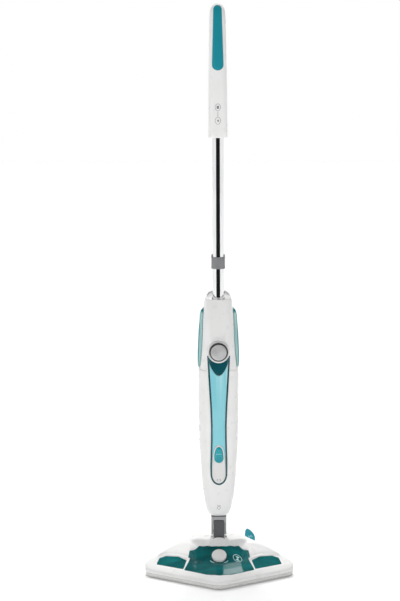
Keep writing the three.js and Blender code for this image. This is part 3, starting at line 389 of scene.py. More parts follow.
def inlay(outer, holes, surface, top, bottom, radius=0.5, spacing=2.0, step=None):
    """A plate that follows a surface. outer and holes are outlines in the surface's own coordinates, and
    surface(u, v, out) gives its points. top and bottom say how far the faces stand out: numbers, or
    functions of u, v and the distance to the outer outline."""
    step = step or spacing
    outer = dense(outer, step)
    holes = [dense(hole, step) for hole in holes]
    loops = [outer] + holes

    def within(points):
        keep = inside(points, outer)
        for hole in holes:
            keep &= ~inside(points, hole)
        return keep

    def nearest(points):
        return np.min([distance(points, loop) for loop in loops], axis=0)

    low, high = outer.min(0), outer.max(0)
    rise = spacing * math.sqrt(3) / 2
    grid = np.array([(x + (j % 2) * spacing / 2, y)
                     for j, y in enumerate(np.arange(low[1], high[1], rise))
                     for x in np.arange(low[0], high[0], spacing)])
    free = []
    for share in ((0.12, 0.35, 0.65, 1.0) if radius else ()):
        for k, loop in enumerate(loops):
            band = inset(loop, radius * share * (-1 if k else 1))
            band = band[within(band)]
            free.append(band[nearest(band) > radius * share * 0.93] if len(band) else band)
    grid = grid[within(grid)]
    free.append(grid[nearest(grid) > radius + 0.45 * spacing] if len(grid) else grid)
    points = np.concatenate(loops + free)
    edges, base = [], 0
    for loop in loops:
        edges += [(base + i, base + (i + 1) % len(loop)) for i in range(len(loop))]
        base += len(loop)
    result = delaunay_2d_cdt([Vector(p) for p in points], edges, [], 0, 1e-5)
    uv = np.array([tuple(v) for v in result[0]])
    triangles = np.array(result[2])
    triangles = triangles[within(uv[triangles].mean(axis=1))]
    d = nearest(uv)
    d_outer = distance(uv, outer)
    u, v = uv.T
    stand = top(u, v, d_outer) if callable(top) else np.full(len(uv), float(top))
    sink = bottom(u, v, d_outer) if callable(bottom) else np.full(len(uv), float(bottom))
    if radius:
        near = np.clip(radius - d, 0, radius)
        stand = stand - (radius - np.sqrt(radius ** 2 - near ** 2))
    front, back = surface(u, v, stand), surface(u, v, sink)
    count = len(uv)
    directed = {}
    for a, b, c in triangles.tolist():
        for i, j in ((a, b), (b, c), (c, a)):
            directed[(i, j)] = True
    faces = triangles.tolist() + (triangles[:, ::-1] + count).tolist()
    faces += [[j, i, i + count, j + count] for i, j in directed if (j, i) not in directed]
    return np.concatenate([front, back]), faces


# ---------- objects ----------

def solid(name, part):
    """A Blender object from millimetres, its faces turned outward and its doubled points merged."""
    points, faces = part
    mesh = bpy.data.meshes.new(name)
    mesh.from_pydata((np.asarray(points) * MM).tolist(), [], [list(map(int, f)) for f in faces])
    work = bmesh.new()
    work.from_mesh(mesh)
    bmesh.ops.remove_doubles(work, verts=work.verts, dist=2e-6)
    bmesh.ops.dissolve_degenerate(work, edges=work.edges, dist=1e-7)
    loose = [v for v in work.verts if not v.link_faces]
    bmesh.ops.delete(work, geom=loose, context="VERTS")
    bmesh.ops.recalc_face_normals(work, faces=work.faces)
    work.to_mesh(mesh)
    work.free()
    made = bpy.data.objects.new(name, mesh)
    bpy.context.scene.collection.objects.link(made)
    return made


def box(node):
    """A CAD node's lowest and highest corners in millimetres."""
    return [np.array(corner[:]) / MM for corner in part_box(node)]


def carve(target, *parts, operation="DIFFERENCE"):
    """Cuts parts or objects out of an object, or joins them to it, for good."""
    cutters = [part if isinstance(part, bpy.types.Object) else solid("cutter", part) for part in parts]
    for cutter in cutters:
        step = target.modifiers.new("cut", "BOOLEAN")
        step.operation = operation
        step.object = cutter
        step.solver = "EXACT"
    bpy.context.view_layer.update()
    graph = bpy.context.evaluated_depsgraph_get()
    mesh = bpy.data.meshes.new_from_object(target.evaluated_get(graph))
    target.modifiers.clear()
    target.data = mesh
    for cutter in cutters:
        bpy.data.objects.remove(cutter)
    return target


def settle(made, body, finish, replaces=(), sharp=32):
    """Gives an object its shading, its finish, the body it rides on and the CAD nodes it stands for."""
    mesh = made.data
    mesh.materials.clear()
    mesh.materials.append(finish)
    mesh.shade_smooth()
    mesh.set_sharp_from_angle(angle=math.radians(sharp))
    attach(made, body)
    if replaces:
        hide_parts(*replaces)
    return made


def piece(name, part, body, finish, replaces=(), sharp=32):
    return settle(solid(name, part), body, finish, replaces, sharp)


def printed(name, shapes, surface, top, bottom, body, finish=None, spacing=0.8):
    """Thin marks on a surface, each drawn by an outline and its holes."""
    marks = [inlay(outer, holes, surface, top, bottom, 0, spacing) for outer, *holes in shapes]
    piece(name, merge(*marks), body, finish or PRINT)


def carried(node, finish, bevel):
    """A CAD node that stays, with softened edges and its finish."""
    made = frame["nodes"][node]
    made.data.materials.clear()
    made.data.materials.append(finish)
    for face in made.data.polygons:
        face.use_smooth = True
    weld = made.modifiers.new("weld", "WELD")
    weld.merge_threshold = 1e-5
    if bevel:
        edge = made.modifiers.new("edge", "BEVEL")
        edge.width = bevel * MM
        edge.segments = 2
        edge.limit_method = "ANGLE"
        edge.angle_limit = math.radians(38)
    even = made.modifiers.new("even", "WEIGHTED_NORMAL")
    even.weight = 60
    return made


# ---------- finishes ----------

def rgb(code):
    """A hexadecimal sRGB colour as linear light."""
    parts = [int(code[i:i + 2], 16) / 255 for i in (0, 2, 4)]
    return tuple(c / 12.92 if c < 0.04045 else ((c + 0.055) / 1.055) ** 2.4 for c in parts) + (1.0,)


class Finish:
    """A material with a principled shader, and short names for the nodes that feed it."""

    def __init__(self, name, **settings):
        self.material = bpy.data.materials.new(name)
        self.material.use_nodes = True
        self.tree = self.material.node_tree
        self.shader = self.tree.nodes["Principled BSDF"]
        self.place = self.tree.nodes.new("ShaderNodeTexCoord").outputs["Object"]
        for key, value in settings.items():
            self.shader.inputs[key.replace("_", " ")].default_value = value

    def link(self, source, target):
        self.tree.links.new(source, self.shader.inputs[target] if isinstance(target, str) else target)

    def node(self, kind, **settings):
        made = self.tree.nodes.new(kind)
        for key, value in settings.items():
            if hasattr(made, key):
                setattr(made, key, value)
            else:
                made.inputs[key.replace("_", " ")].default_value = value
        return made

    def stretched(self, scale):
        mapping = self.node("ShaderNodeMapping", Scale=scale)
        self.link(self.place, mapping.inputs["Vector"])
        return mapping.outputs["Vector"]

    def noise(self, scale, detail=3.0, at=None, roughness=0.55):
        made = self.node("ShaderNodeTexNoise", Scale=scale, Detail=detail, Roughness=roughness)
        self.link(at or self.place, made.inputs["Vector"])
        return made.outputs["Fac"]

    def spread(self, value, low, high, start=0.3, end=0.7):
        made = self.node("ShaderNodeMapRange", From_Min=start, From_Max=end, To_Min=low, To_Max=high)
        self.link(value, made.inputs["Value"])
        return made.outputs["Result"]

    def mix(self, factor, one, two):
        made = self.node("ShaderNodeMix", data_type="RGBA")
        sockets = [s for s in made.inputs if s.enabled]
        self.link(factor, sockets[0])
        for socket, value in zip(sockets[-2:], (one, two)):
            if isinstance(value, tuple):
                socket.default_value = value
            else:
                self.link(value, socket)
        return [s for s in made.outputs if s.enabled][0]

    def bump(self, height, strength, reach, after=None):
        made = self.node("ShaderNodeBump", Strength=strength, Distance=reach)
        self.link(height, made.inputs["Height"])
        if after:
            self.link(after, made.inputs["Normal"])
        return made.outputs["Normal"]


def shade(colour, factor):
    return tuple(min(1.0, c * factor) for c in colour[:3]) + (1.0,)


def moulded(name, code, roughness=0.28, mottle=0.05, grain=0.12, coat=0.0):
    """Moulded plastic: a faint drift of colour, fine grain, and edges rubbed a little paler."""
    f = Finish(name, Coat_Weight=coat, Coat_Roughness=0.06)
    colour = rgb(code)
    drift = f.spread(f.noise(22, 2), 0, 1)
    body = f.mix(drift, shade(colour, 1 - mottle), shade(colour, 1 + mottle))
    edge = f.node("ShaderNodeNewGeometry").outputs["Pointiness"]
    rub = f.spread(edge, 0, 0.12, 0.53, 0.6)
    f.link(f.mix(rub, body, shade(colour, 1.5)), "Base Color")
    f.link(f.spread(f.noise(60, 4), roughness - 0.05, roughness + 0.07), "Roughness")
    f.link(f.bump(f.noise(2400, 2), grain, 0.00006), "Normal")
    return f.material


def tinted(name, deep, pale, clear, roughness):
    """Tinted clear plastic, with faint paler streaks."""
    f = Finish(name, Transmission_Weight=clear, IOR=1.49, Coat_Weight=0.3, Coat_Roughness=0.02)
    streak = f.spread(f.noise(1.0, 4, f.stretched((14, 40, 20))), 0, 1, 0.35, 0.75)
    f.link(f.mix(streak, rgb(deep), rgb(pale)), "Base Color")
    f.link(f.spread(f.noise(30, 3), roughness, roughness + 0.05), "Roughness")
    f.link(f.bump(f.noise(26, 2), 0.12, 0.0006), "Normal")
    return f.material


def edged(name, pale, deep):
    """Pale clear plastic that gathers colour toward its sides and its top corners."""
    f = Finish(name, Transmission_Weight=0.3, IOR=1.2, Roughness=0.06)
    parts = f.node("ShaderNodeSeparateXYZ")
    f.link(f.place, parts.inputs[0])
    aside = f.node("ShaderNodeMath", operation="ABSOLUTE")
    f.link(parts.outputs["X"], aside.inputs[0])
    lean = f.node("ShaderNodeMath", operation="MULTIPLY_ADD")
    f.link(parts.outputs["Z"], lean.inputs[0])
    lean.inputs[1].default_value = 0.042
    f.link(aside.outputs[0], lean.inputs[2])
    side = f.spread(lean.outputs[0], 0, 1, 0.0595, 0.0615)
    crown = f.spread(parts.outputs["Z"], 0, 1, 0.546, 0.552)
    both = f.node("ShaderNodeMath", operation="MAXIMUM")
    f.link(side, both.inputs[0])
    f.link(crown, both.inputs[1])
    drift = f.mix(f.spread(f.noise(30, 3), 0, 1), shade(rgb(pale), 0.94), rgb(pale))
    f.link(f.mix(both.outputs[0], drift, rgb(deep)), "Base Color")
    f.link(f.bump(f.noise(20, 2), 0.08, 0.0004), "Normal")
    return f.material


def metal(name, code, roughness, grain=(1, 1, 1), depth=0.05, scale=300, share=1.0):
    """Metal with fine marks along one direction, or none. A smaller share makes it metallic paint."""
    f = Finish(name, Metallic=share)
    colour = rgb(code)
    marks = f.noise(scale, 4, f.stretched(grain))
    f.link(f.mix(f.spread(marks, 0, 1), shade(colour, 0.9), shade(colour, 1.06)), "Base Color")
    f.link(f.spread(marks, roughness * 0.8, roughness * 1.3), "Roughness")
    f.link(f.bump(marks, depth, 0.00005), "Normal")
    return f.material


def soft_rubber(name, code, roughness=0.55):
    f = Finish(name, Sheen_Weight=0.15, Sheen_Roughness=0.4)
    colour = rgb(code)
    f.link(f.mix(f.spread(f.noise(18, 3), 0, 1), shade(colour, 0.93), shade(colour, 1.08)), "Base Color")
    f.link(f.spread(f.noise(90, 4), roughness - 0.06, roughness + 0.08), "Roughness")
    f.link(f.bump(f.noise(1500, 3), 0.35, 0.00012), "Normal")
    return f.material


def pile(name, code):
    """Microfibre pile: tufts with painted shade in the hollows round them, and shorter fibres between them.
    """
    f = Finish(name, Sheen_Weight=0.35, Sheen_Roughness=0.5, Roughness=0.95)
    colour = rgb(code)
    tuft = f.node("ShaderNodeTexVoronoi", Scale=420.0)
    f.link(f.place, tuft.inputs["Vector"])
    hollow = f.spread(tuft.outputs["Distance"], 1, 0, 0.0, 0.75)
    # painted shade: the colour darkens in the hollows between the tufts
    shadow = f.mix(hollow, shade(colour, 0.86), shade(colour, 1.08))
    f.link(f.mix(f.spread(f.noise(35, 3), 0, 0.35), shadow, shade(colour, 0.95)), "Base Color")
    fibres = f.bump(f.noise(1900, 5), 0.5, 0.0003)
    f.link(f.bump(hollow, 0.8, 0.0009, fibres), "Normal")
    return f.material


def woven(name, code):
    """A plain weave of flat yarn."""
    f = Finish(name, Sheen_Weight=0.3, Sheen_Roughness=0.4, Roughness=0.8)
    colour = rgb(code)
    weaves = []
    for scale in ((1, 0, 0), (0, 0, 1)):
        wave = f.node("ShaderNodeTexWave", Scale=190.0, Distortion=0.6, Detail=1.0)
        f.link(f.stretched(scale), wave.inputs["Vector"])
        weaves.append(wave.outputs["Fac"])
    cross = f.node("ShaderNodeMath", operation="MULTIPLY")
    f.link(weaves[0], cross.inputs[0])
    f.link(weaves[1], cross.inputs[1])
    yarn = cross.outputs[0]
    tone = f.mix(yarn, shade(colour, 0.78), shade(colour, 1.15))
    f.link(f.mix(f.spread(f.noise(60, 3), 0, 0.3), tone, shade(colour, 0.85)), "Base Color")
    f.link(f.bump(yarn, 0.6, 0.0003), "Normal")
    return f.material


def painted_reflection_plastic(name, code, pale, reach):
    """Glossy plastic with painted reflections: soft upright paler streaks, stronger toward the top."""
    f = Finish(name, Coat_Weight=0.5, Coat_Roughness=0.04, Roughness=0.3)
    parts = f.node("ShaderNodeSeparateXYZ")
    f.link(f.place, parts.inputs[0])
    # the streaks are painted reflections, which grow paler toward the top
    streak = f.noise(1.0, 1, f.stretched((95, 1, 1.5)), 0.3)
    rise = f.spread(parts.outputs["Z"], 0, 1, *reach)
    strength = f.node("ShaderNodeMath", operation="MULTIPLY")
    f.link(f.spread(streak, 0, 1, 0.42, 0.68), strength.inputs[0])
    f.link(rise, strength.inputs[1])
    f.link(f.mix(strength.outputs[0], rgb(code), rgb(pale)), "Base Color")
    f.link(f.bump(f.noise(2400, 2), 0.08, 0.00005), "Normal")
    return f.material


WHITE = moulded("white_plastic", "f1f1f0", 0.3, 0.01, 0.008, 0.2)
WHITE_SATIN = moulded("white_satin", "e4e4e3", 0.42, 0.03)
TEAL_SOFT = soft_rubber("soft_teal", "008d9d")
TEAL_DEEP = moulded("dark_teal", "06505a", 0.16, 0.1, 0.04, 0.5)
AQUA = painted_reflection_plastic("aqua_panel", "86d4e0", "c6f2f6", (0.33, 0.43))
WINDOW = tinted("tinted_window", "005054", "007f80", 0.12, 0.05)
TANK = edged("tinted_tank", "c9f1f1", "0f8e96")
TEAL = moulded("teal_plastic", "0898a6", 0.3, 0.05, 0.1, 0.2)
TEAL_BRIGHT = moulded("bright_teal", "00a2ae", 0.28, 0.05, 0.1, 0.2)
CHROME = metal("chrome", "ebebec", 0.05, (1, 1, 0.06), 0.02, 500)
SILVER = metal("silver", "d2d2d3", 0.42, (1, 1, 6), 0.03, 120, 0.45)
GREY = moulded("grey_plastic", "858688", 0.42, 0.05, 0.2)
GREY_PALE = moulded("pale_grey_plastic", "adaeb0", 0.42, 0.04, 0.15)
GREY_DARK = moulded("dark_grey_plastic", "5a5b5e", 0.45, 0.06, 0.3)
CHARCOAL = moulded("charcoal_plastic", "303234", 0.45, 0.06, 0.35)
PAD = pile("microfibre", "f6f6f4")
BINDING = woven("white_binding", "ecece8")
TAB = woven("teal_webbing", "2fa7ba")
PRINT = moulded("pale_print", "bfe0e2", 0.5, 0.03)
PRINT_GREY = moulded("grey_print", "77797b", 0.5, 0.05)
STEEL = metal("steel", "b4b6b9", 0.28, (1, 1, 8))
ALUMINIUM = metal("cast_aluminium", "b9bbbd", 0.45, (1, 1, 1), 0.5, 180)
RUBBER = soft_rubber("black_rubber", "1f2021", 0.75)
HOSE = soft_rubber("silicone_hose", "e6dfd0", 0.4)
BOARD = moulded("circuit_board", "1d5b38", 0.35, 0.15, 0.5)


# ---------- sections ----------

class Section:
    """A tapering body: half width, depths and centre line by height, and how round its corners are."""

    def __init__(self, rows, power, facet=None):
        self.half, self.front, self.rear = (curve(rows, k) for k in (1, 2, 3))
        self.middle = curve(rows, 4) if len(rows[0]) > 4 else (lambda z: 0.0 * z)
        self.power = power
        self.facet = curve(facet) if facet else None

    def flatten(self, depth, z, out):
        """The flat face down the middle of the front."""
        if self.facet is None:
            return depth
        return soft_min(depth, self.front(z) + out - self.facet(z), 0.35)

    def depth(self, reach, x, z, out):
        share = np.clip(np.abs(x) / (self.half(z) + out), 0, 1)
        return (reach(z) + out) * (1 - share ** self.power) ** (1 / self.power)

    def surface(self, x, z, out):
        """Points on the front, out from it by an amount."""
        depth = self.flatten(self.depth(self.front, x, z, out), z, out)
        return np.stack([x, self.middle(z) - depth, z], 1)

    def rear_surface(self, x, z, out):
        return np.stack([x, self.middle(z) + self.depth(self.rear, x, z, out), z], 1)

    def ring(self, z, turns, out):
        """Points round the section at heights z, one for each turn."""
        z = np.broadcast_to(z, np.shape(turns)).astype(float)
        cos, sin = np.cos(turns), np.sin(turns)
        x = (self.half(z) + out) * np.sign(cos) * np.abs(cos) ** (2 / self.power)
        deep = np.where(sin < 0, self.front(z), self.rear(z)) + out
        y = deep * np.abs(sin) ** (2 / self.power)
        y = np.where(sin < 0, -self.flatten(y, z, out), y)
        return np.stack([x, self.middle(z) + y, z], 1)


AROUND = 72
LIPS = [(-0.5, SEAM), (-0.14, SEAM + 0.1), (0.0, SEAM + 0.45)]  # the rounded edge along a seam


def half_ring(section, z, facing, out, round_bore=None):
    """One half of a ring, its ends rounded to the seam. round_bore makes it a circle."""
    turns = facing * np.linspace(0.012, math.pi - 0.012, AROUND)
    if round_bore:
        z = np.broadcast_to(z, turns.shape).astype(float)
        line = np.stack([round_bore * np.cos(turns), round_bore * np.sin(turns), z], 1)
        half, centre = round_bore, 0.0
    else:
        line = section.ring(z, turns, out)
        half = float(np.atleast_1d(section.half(line[0, 2]))[0]) + out
        centre = float(np.atleast_1d(section.middle(line[0, 2]))[0])
    ends = [[half + dx, centre + facing * y, line[0, 2]] for dx, y in LIPS]
    others = [[-half - dx, centre + facing * y, line[-1, 2]] for dx, y in LIPS[::-1]]
    return np.concatenate([ends, line, others])


def half_shell(section, rows, facing, trim=None):
    """Half of a hollow moulding. A row is the outside's height and growth, the inside's, and its bore."""
    loops = []
    for z_out, out, z_in, grown, bore in rows:
        outside = half_ring(section, z_out, facing, out)
        within = half_ring(section, z_in, facing, grown, bore)
        if trim:
            outside = half_ring(section, trim(outside), facing, out)
            within = half_ring(section, trim(within), facing, grown, bore)
        loops.append(np.concatenate([outside, within[::-1]]))
    return rings(loops, "wall")


def heights_of(rows, step):
    """A table's heights with more between them."""
    marks = [row[0] for row in rows]
    made = []
    for a, b in zip(marks, marks[1:]):
        count = max(1, round((b - a) / step))
        made += [a + (b - a) * k / count for k in range(count)]
    return made + [marks[-1]]


def loft(section, heights, out, turns=96):
    around = np.linspace(0, 2 * math.pi, turns, endpoint=False)
    return rings([section.ring(z, around, out) for z in heights])


# How far the flat face down the front is set back, by height.
BODY_FACET = [[430, -3], [492, -3], [502, 1.5], [560, 2.2], [594, 1.8]]
HANDLE_FACET = [[908, 0.9], [1025, 0.9], [1046, -2], [1180, -2]]
BODY = Section(BODY_ROWS, 2.8, BODY_FACET)
BODY_CORE = Section(BODY_ROWS, 2.8)
TANK_SECTION = Section(TANK_ROWS, 2.8)
HANDLE = Section(HANDLE_ROWS, 2.6, HANDLE_FACET)


# ---------- head ----------

def head_outline():
    """The head's plan, from the front apex round the right corner to the back, and its mirror image."""
    x, y = HEAD_CORNER
    half = [(0, HEAD_FRONT_Y + 4.5)]
    half += bezier(half[-1], (9, HEAD_FRONT_Y + 4.5), (22, HEAD_FRONT_Y + 13))
    half += bezier(half[-1], (x - 22, y - 13), steps=40)
    half += bezier(half[-1], (x - 3, y - 1.8), (x - 5, y + 14))
    half += bezier(half[-1], (x - 6.5, y + 22), (x - 22, y + 30))
    half += bezier(half[-1], (78, 8), (56, 33), steps=30)
    half += bezier(half[-1], (49, HEAD_BACK_Y), (40, HEAD_BACK_Y))
    return mirrored(half + [(20, HEAD_BACK_Y), (0, HEAD_BACK_Y)])


HEAD_OUTLINE = head_outline()
HEAD_RISE = (HEAD_CORNER[1] - HEAD_FRONT_Y) / HEAD_CORNER[0]
HEAD_COS = 1 / math.hypot(1, HEAD_RISE)
HEAD_FLOOR = box("head_shell")[0][2]
middle_height = facets(HEAD_MIDDLE, 2.2)
wing_height = facets(HEAD_WING, 2.2)
ridge_height = curve(HEAD_RIDGE)
WING_GROOVE = np.array([(64, -44), (83, -30), (98, -23), (112, -17), (127.5, -18.5), (137, -40)])
WINDOWS = {
    "middle": mirrored(MIDDLE_WINDOW),
    "right": WING_WINDOW,
    "left": [(-x, y) for x, y in WING_WINDOW],
}


def head_height(x, y):
    across = np.abs(x)
    wing = smoothstep(across, 46, 64)
    reach = np.hypot(across, 14) - 7.7
    behind = np.maximum(0, (y - (HEAD_FRONT_Y - 0.5) - HEAD_RISE * reach) * HEAD_COS)
    front = (1 - wing) * middle_height(behind) + wing * wing_height(behind)
    lip = smoothstep(-y, 13, 20) * (1 - smoothstep(-y, 23, 31)) * (1 - smoothstep(across, 15, 34))
    return soft_min(front, ridge_height(across), 5) + LIP_HEIGHT * lip


def head_surface(x, y, out):
    return np.stack([x, y, head_height(x, y) + out], 1)


def head_top(x, y, d):
    """The shell's skin against the bare surface: its rounded rim and the grooves above the wings."""
    radius = 2.4 + 4 * smoothstep(y, -35, 0)
    near = np.clip(radius - d, 0, radius)
    rim = radius - np.sqrt(radius ** 2 - near ** 2)
    groove = distance(np.stack([np.abs(x), y], 1), WING_GROOVE, False)
    return -rim * 0.85 - 1.1 * np.exp(-(groove / 1.3) ** 2)


def head_underside(x, y, d):
    """The inside of the shell: down to the floor at the rim and at the neck's pocket."""
    height = head_height(x, y)
    pocket = (np.abs(x) < 17.05) & (y > POCKET_FRONT - 0.05) & (y < 17.05)
    out = np.where(d < WALL, HEAD_FLOOR - height, -WALL)
    return np.where(pocket, 62.0 - height, out)


def head_shell():
    holes = [soften(inset(loop, -GAP), 2.0) for loop in WINDOWS.values()]
    pocket = rounded(-17, 17, POCKET_FRONT, 17, 6)
    skin = inlay(HEAD_OUTLINE, holes + [pocket], head_surface, head_top, head_underside, 0.7, 2.0, 1.3)
    made = solid("shell_head", skin)
    bowl = solid("bowl", flat(rounded(-18, 18, POCKET_FRONT - 1, 18, 6), 61.9, 64.5))
    carve(bowl, flat(rounded(-12.8, 12.8, -15, 15, 4.3), 50, 80))
    carve(made, bowl, operation="UNION")
    settle(made, "head", WHITE, ["head_shell"], 28)


KNOB_JOINT = next(j for j in frame["joints"] if j["name"] == "scent_knob_turn")
KNOB_AXIS = Vector(KNOB_JOINT["axis"])
KNOB_AT = Vector(KNOB_JOINT["pos_m"]) / MM
KNOB_TILT = Matrix.Rotation(math.atan2(-KNOB_AXIS.y, KNOB_AXIS.z), 4, "X")
KNOB_PLACE = Matrix.Translation(KNOB_AT) @ KNOB_TILT
KNOB_R = 15.6


def windows():
    well = ellipse(0, KNOB_AT.y, KNOB_R + 1.5, (KNOB_R + 1.5) * KNOB_AXIS.z)
    for name, outline in WINDOWS.items():
        holes = [well] if name == "middle" else []
        part = inlay(soften(outline, 2.0), holes, head_surface, -0.35, -2.4, 0.6, 2.0, 1.3)
        piece(name + "_visor", part, "head", WINDOW, [name + "_window"], 28)


def head_marks():
    """Marks on the middle window: a ring with an hourglass, and two arcs beside the knob."""
    cx, cy, rx, ry = 38.5, -43.0, 9.6, 8.2
    ring = [ellipse(cx, cy, rx, ry), ellipse(cx, cy, rx - 1.1, ry - 1.1)]
    figure = [(-4.6, 4.4), (4.6, 4.4), (0.9, 0), (4.6, -4.4), (-4.6, -4.4), (-0.9, 0)]
    glass = [[(cx + x, cy + y) for x, y in figure]]
    printed("mark_window", [ring, glass], head_surface, -0.1, -0.5, "head", spacing=0.9)
    arcs = [ellipse(0, KNOB_AT.y, 20.5, 20.5 * KNOB_AXIS.z, start, start + 35, 14) for start in (205, 300)]
    printed("mark_scale", [[stroke(arc, 1.2)] for arc in arcs], head_surface, -0.1, -0.5, "head")


def pad():
    """The microfibre pad: a soft uneven roll round the edge, and its bound hem."""
    loop = dense(HEAD_OUTLINE, 2.0)
    high = box("mop_pad")[1][2]
    swell = [(3.6, 0.0), (1.6, 0.5), (0.75, 1.9), (0.6, 4.0), (0.85, 5.8), (1.9, 7.3)]
    swell += [(3.2, high), (9, high), (16, high)]
    loops = []
    for k, (amount, z) in enumerate(swell):
        line = inset(loop, amount)
        at = np.arange(len(line))
        wave = 0.22 * np.sin(at * 1.9 + k) + 0.16 * np.sin(at * 0.83 - 2 * k)
        line = line + (inset(line, 1) - line) * np.maximum(0, wave + 0.1)[:, None]
        loops.append(np.column_stack([line, np.full(len(line), min(high, z))]))
    made = piece("pad_microfibre", rings(loops), "head", PAD, ["mop_pad"], 60)
    hem = inset(loop, 0.45)
    profile = [(1.0, 6.6), (0.3, 6.7), (0.05, 7.1), (0.0, 7.6), (0.05, 8.1), (0.3, 8.45), (1.0, 8.5)]
    strips = [np.column_stack([inset(hem, amount), np.full(len(hem), z)]) for amount, z in profile]
    piece("pad_hem", rings(strips, "loop"), "head", BINDING)


def tab():
    """The cloth pull tab: a doubled strip that leans, on its stitched band."""
    (x0, near, z0), (x1, far, z1) = box("pad_tab")
    y = (near + far) / 2
    sewn = 44.0  # the teal cloth starts here; below it the band is white
    top = [(x0 + 1.2, z1 - 3), (x0 + 4.5, z1), (x0 + 11, z1 - 3.2), (x1 - 3.2, z1 - 11), (x1, z1 - 18)]
    cloth = [(x0, sewn - 3), (x1, sewn - 3)] + top[::-1] + [(x0, z1 - 10)]

    def bend(u, v, out):
        wave = 0.5 * np.sin((u - x0) * 0.28) * smoothstep(v, sewn, z1)
        return np.stack([u, y - out + wave, v], 1)

    part = inlay(soften(cloth, 3.0), [], bend, 0.55, -0.55, 0.3, 1.4)
    made = piece("pull_tab", part, "head", TAB, ["pad_tab"], 40)
    foot = [(x0, z0 + 0.2), (x1, z0 + 0.2), (x1, sewn), (x0, sewn)]
    band = inlay(soften(foot, 1.2), [], bend, 0.75, -0.75, 0.35, 1.6)
    low, high = box("pad_tab_band")
    stub = flat(rounded(low[0], high[0], low[1], high[1], 0.8), low[2], high[2], 0.4)
    piece("pull_tab_band", merge(band, stub), "head", BINDING, ["pad_tab_band"], 40)
    mark = stroke([(x0 + 7, 56), (x0 + 9.5, 52), (x0 + 13, 57), (x0 + 15.5, 53)], 1.3)
    printed("mark_tab", [[mark]], bend, 0.68, 0.4, "head")


def scent_knob():
    """A round knob with a raised bar across, a ribbed skirt and a dark pointer."""
    r = KNOB_R
    rim = soften([(r - 0.6, -0.4), (r, 0.4), (r, 4.4), (r - 1.2, 6.2), (r - 4.6, 6.9)], 0.8, 4, False)
    points, faces = turned([(0.001, -0.4)] + rim + [(8, 7.05), (4, 7.15), (0.001, 7.2)], 96)
    turn = np.arctan2(points[:, 1], points[:, 0])
    reach = np.hypot(points[:, 0], points[:, 1])
    rib = 0.28 * (0.5 + 0.5 * np.cos(turn * 36)) * smoothstep(reach, r - 1, r) * (points[:, 2] < 4.6)
    points[:, :2] *= (1 - rib / np.maximum(reach, 1e-6))[:, None]
    ridge = flat(rounded(-11.8, 11.8, -1.1, 1.1, 1.0), 6.4, 7.75, 0.5)
    cap = moved(merge((points, faces), ridge), KNOB_PLACE)
    piece("knob_scent", cap, "knob", WHITE, ["scent_knob"], 30)
    wedge = soften([(-4.2, r - 5.5), (4.2, r - 5.5), (3.2, r + 1.6), (-3.2, r + 1.6)], 1.0)
    pointer = moved(flat(wedge, 1.0, 5.2, 0.5), KNOB_PLACE)
    piece("knob_pointer", pointer, "knob", CHARCOAL)
    seat = hoop(r + 0.2, r + 1.2, -2.2, -0.5, 0.3, 96, KNOB_PLACE)
    piece("knob_collar", seat, "head", TEAL_DEEP)


# ---------- neck ----------

def neck():
    """The fork above the joint, with its dark plate and band, and the ribbed hose through it."""
    (_, _, bottom), (half, deep, top) = box("upper_fork")
    sleeve = solid("fork", flat(rounded(-half, half, -deep, deep, 5, 8), JOINT_Z + 19.6, top, 0.8))
    cheek = soften([(-8.2, bottom), (8.2, bottom), (8.2, 110), (-8.2, 110)], 8, 10)
    carve(sleeve, sideways(cheek, half, 0.9), operation="UNION")
    gap = block(-11.6, 11.6, -20, 20, 60, JOINT_Z + 19.6)
    recess = block(-11.3, 11.3, -20, -11.6, JOINT_Z + 15, 110.1)
    pin_hole = bar((-20, 0, JOINT_Z), (20, 0, JOINT_Z), 3.3)
    carve(sleeve, gap, pin_hole, bar((0, 0, 90), (0, 0, 130), 5.4), recess)
    settle(sleeve, "fork", GREY_PALE, ["upper_fork"], 34)

    (_, front, z0), (x1, _, z1) = box("fork_cover")
    apron = soften([(-x1, z0), (x1, z0), (x1, z1), (-x1, z1)], 5, 8)
    plate = upright(apron, front + 0.25, -14.9, 0.5)
    mount = upright(rounded(-10.6, 10.6, JOINT_Z + 20, z1 - 0.2, 1), -15, -11.9, 0)
    lines = [([(-8, 90), (0, 95), (8, 90)], 1.3), ([(-8.6, 104.5), (0, 104.6), (8.6, 104.5)], 1.2)]
    ribs = [upright(soften(stroke(*line), 0.6), front, front + 0.6, 0.25) for line in lines]
    dots = [upright(ellipse(x, JOINT_Z, 1.3, 1.3), front, front + 0.6, 0.3) for x in (-5, 5)]
    cover = merge(plate, mount, *ribs, *dots)
    piece("neck_apron", cover, "fork", GREY_DARK, ["fork_cover"], 34)

    band = solid("neck_band", flat(rounded(-half, half, -deep, deep, 5, 8), top - 3.4, top - 0.4, 0.5))
    carve(band, flat(rounded(1 - half, half - 1, 1 - deep, deep - 1, 4.4, 8), top - 8, top + 4))
    band.scale = (1.006, 1.006, 1)  # a hair proud of the sleeve
    bpy.context.view_layer.update()
    settle(band, "fork", GREY_DARK)

    low, high = box("neck_hose_lower")[0][2], box("neck_hose_upper")[1][2]
    count = 4 * 56  # four points to a rib
    profile = [(3.25 + 0.35 * math.cos(math.pi * k / 2), low + (high - low) * k / count)
               for k in range(count + 1)]
    settle_hose(solid("neck_hose", turned(profile, 24)))


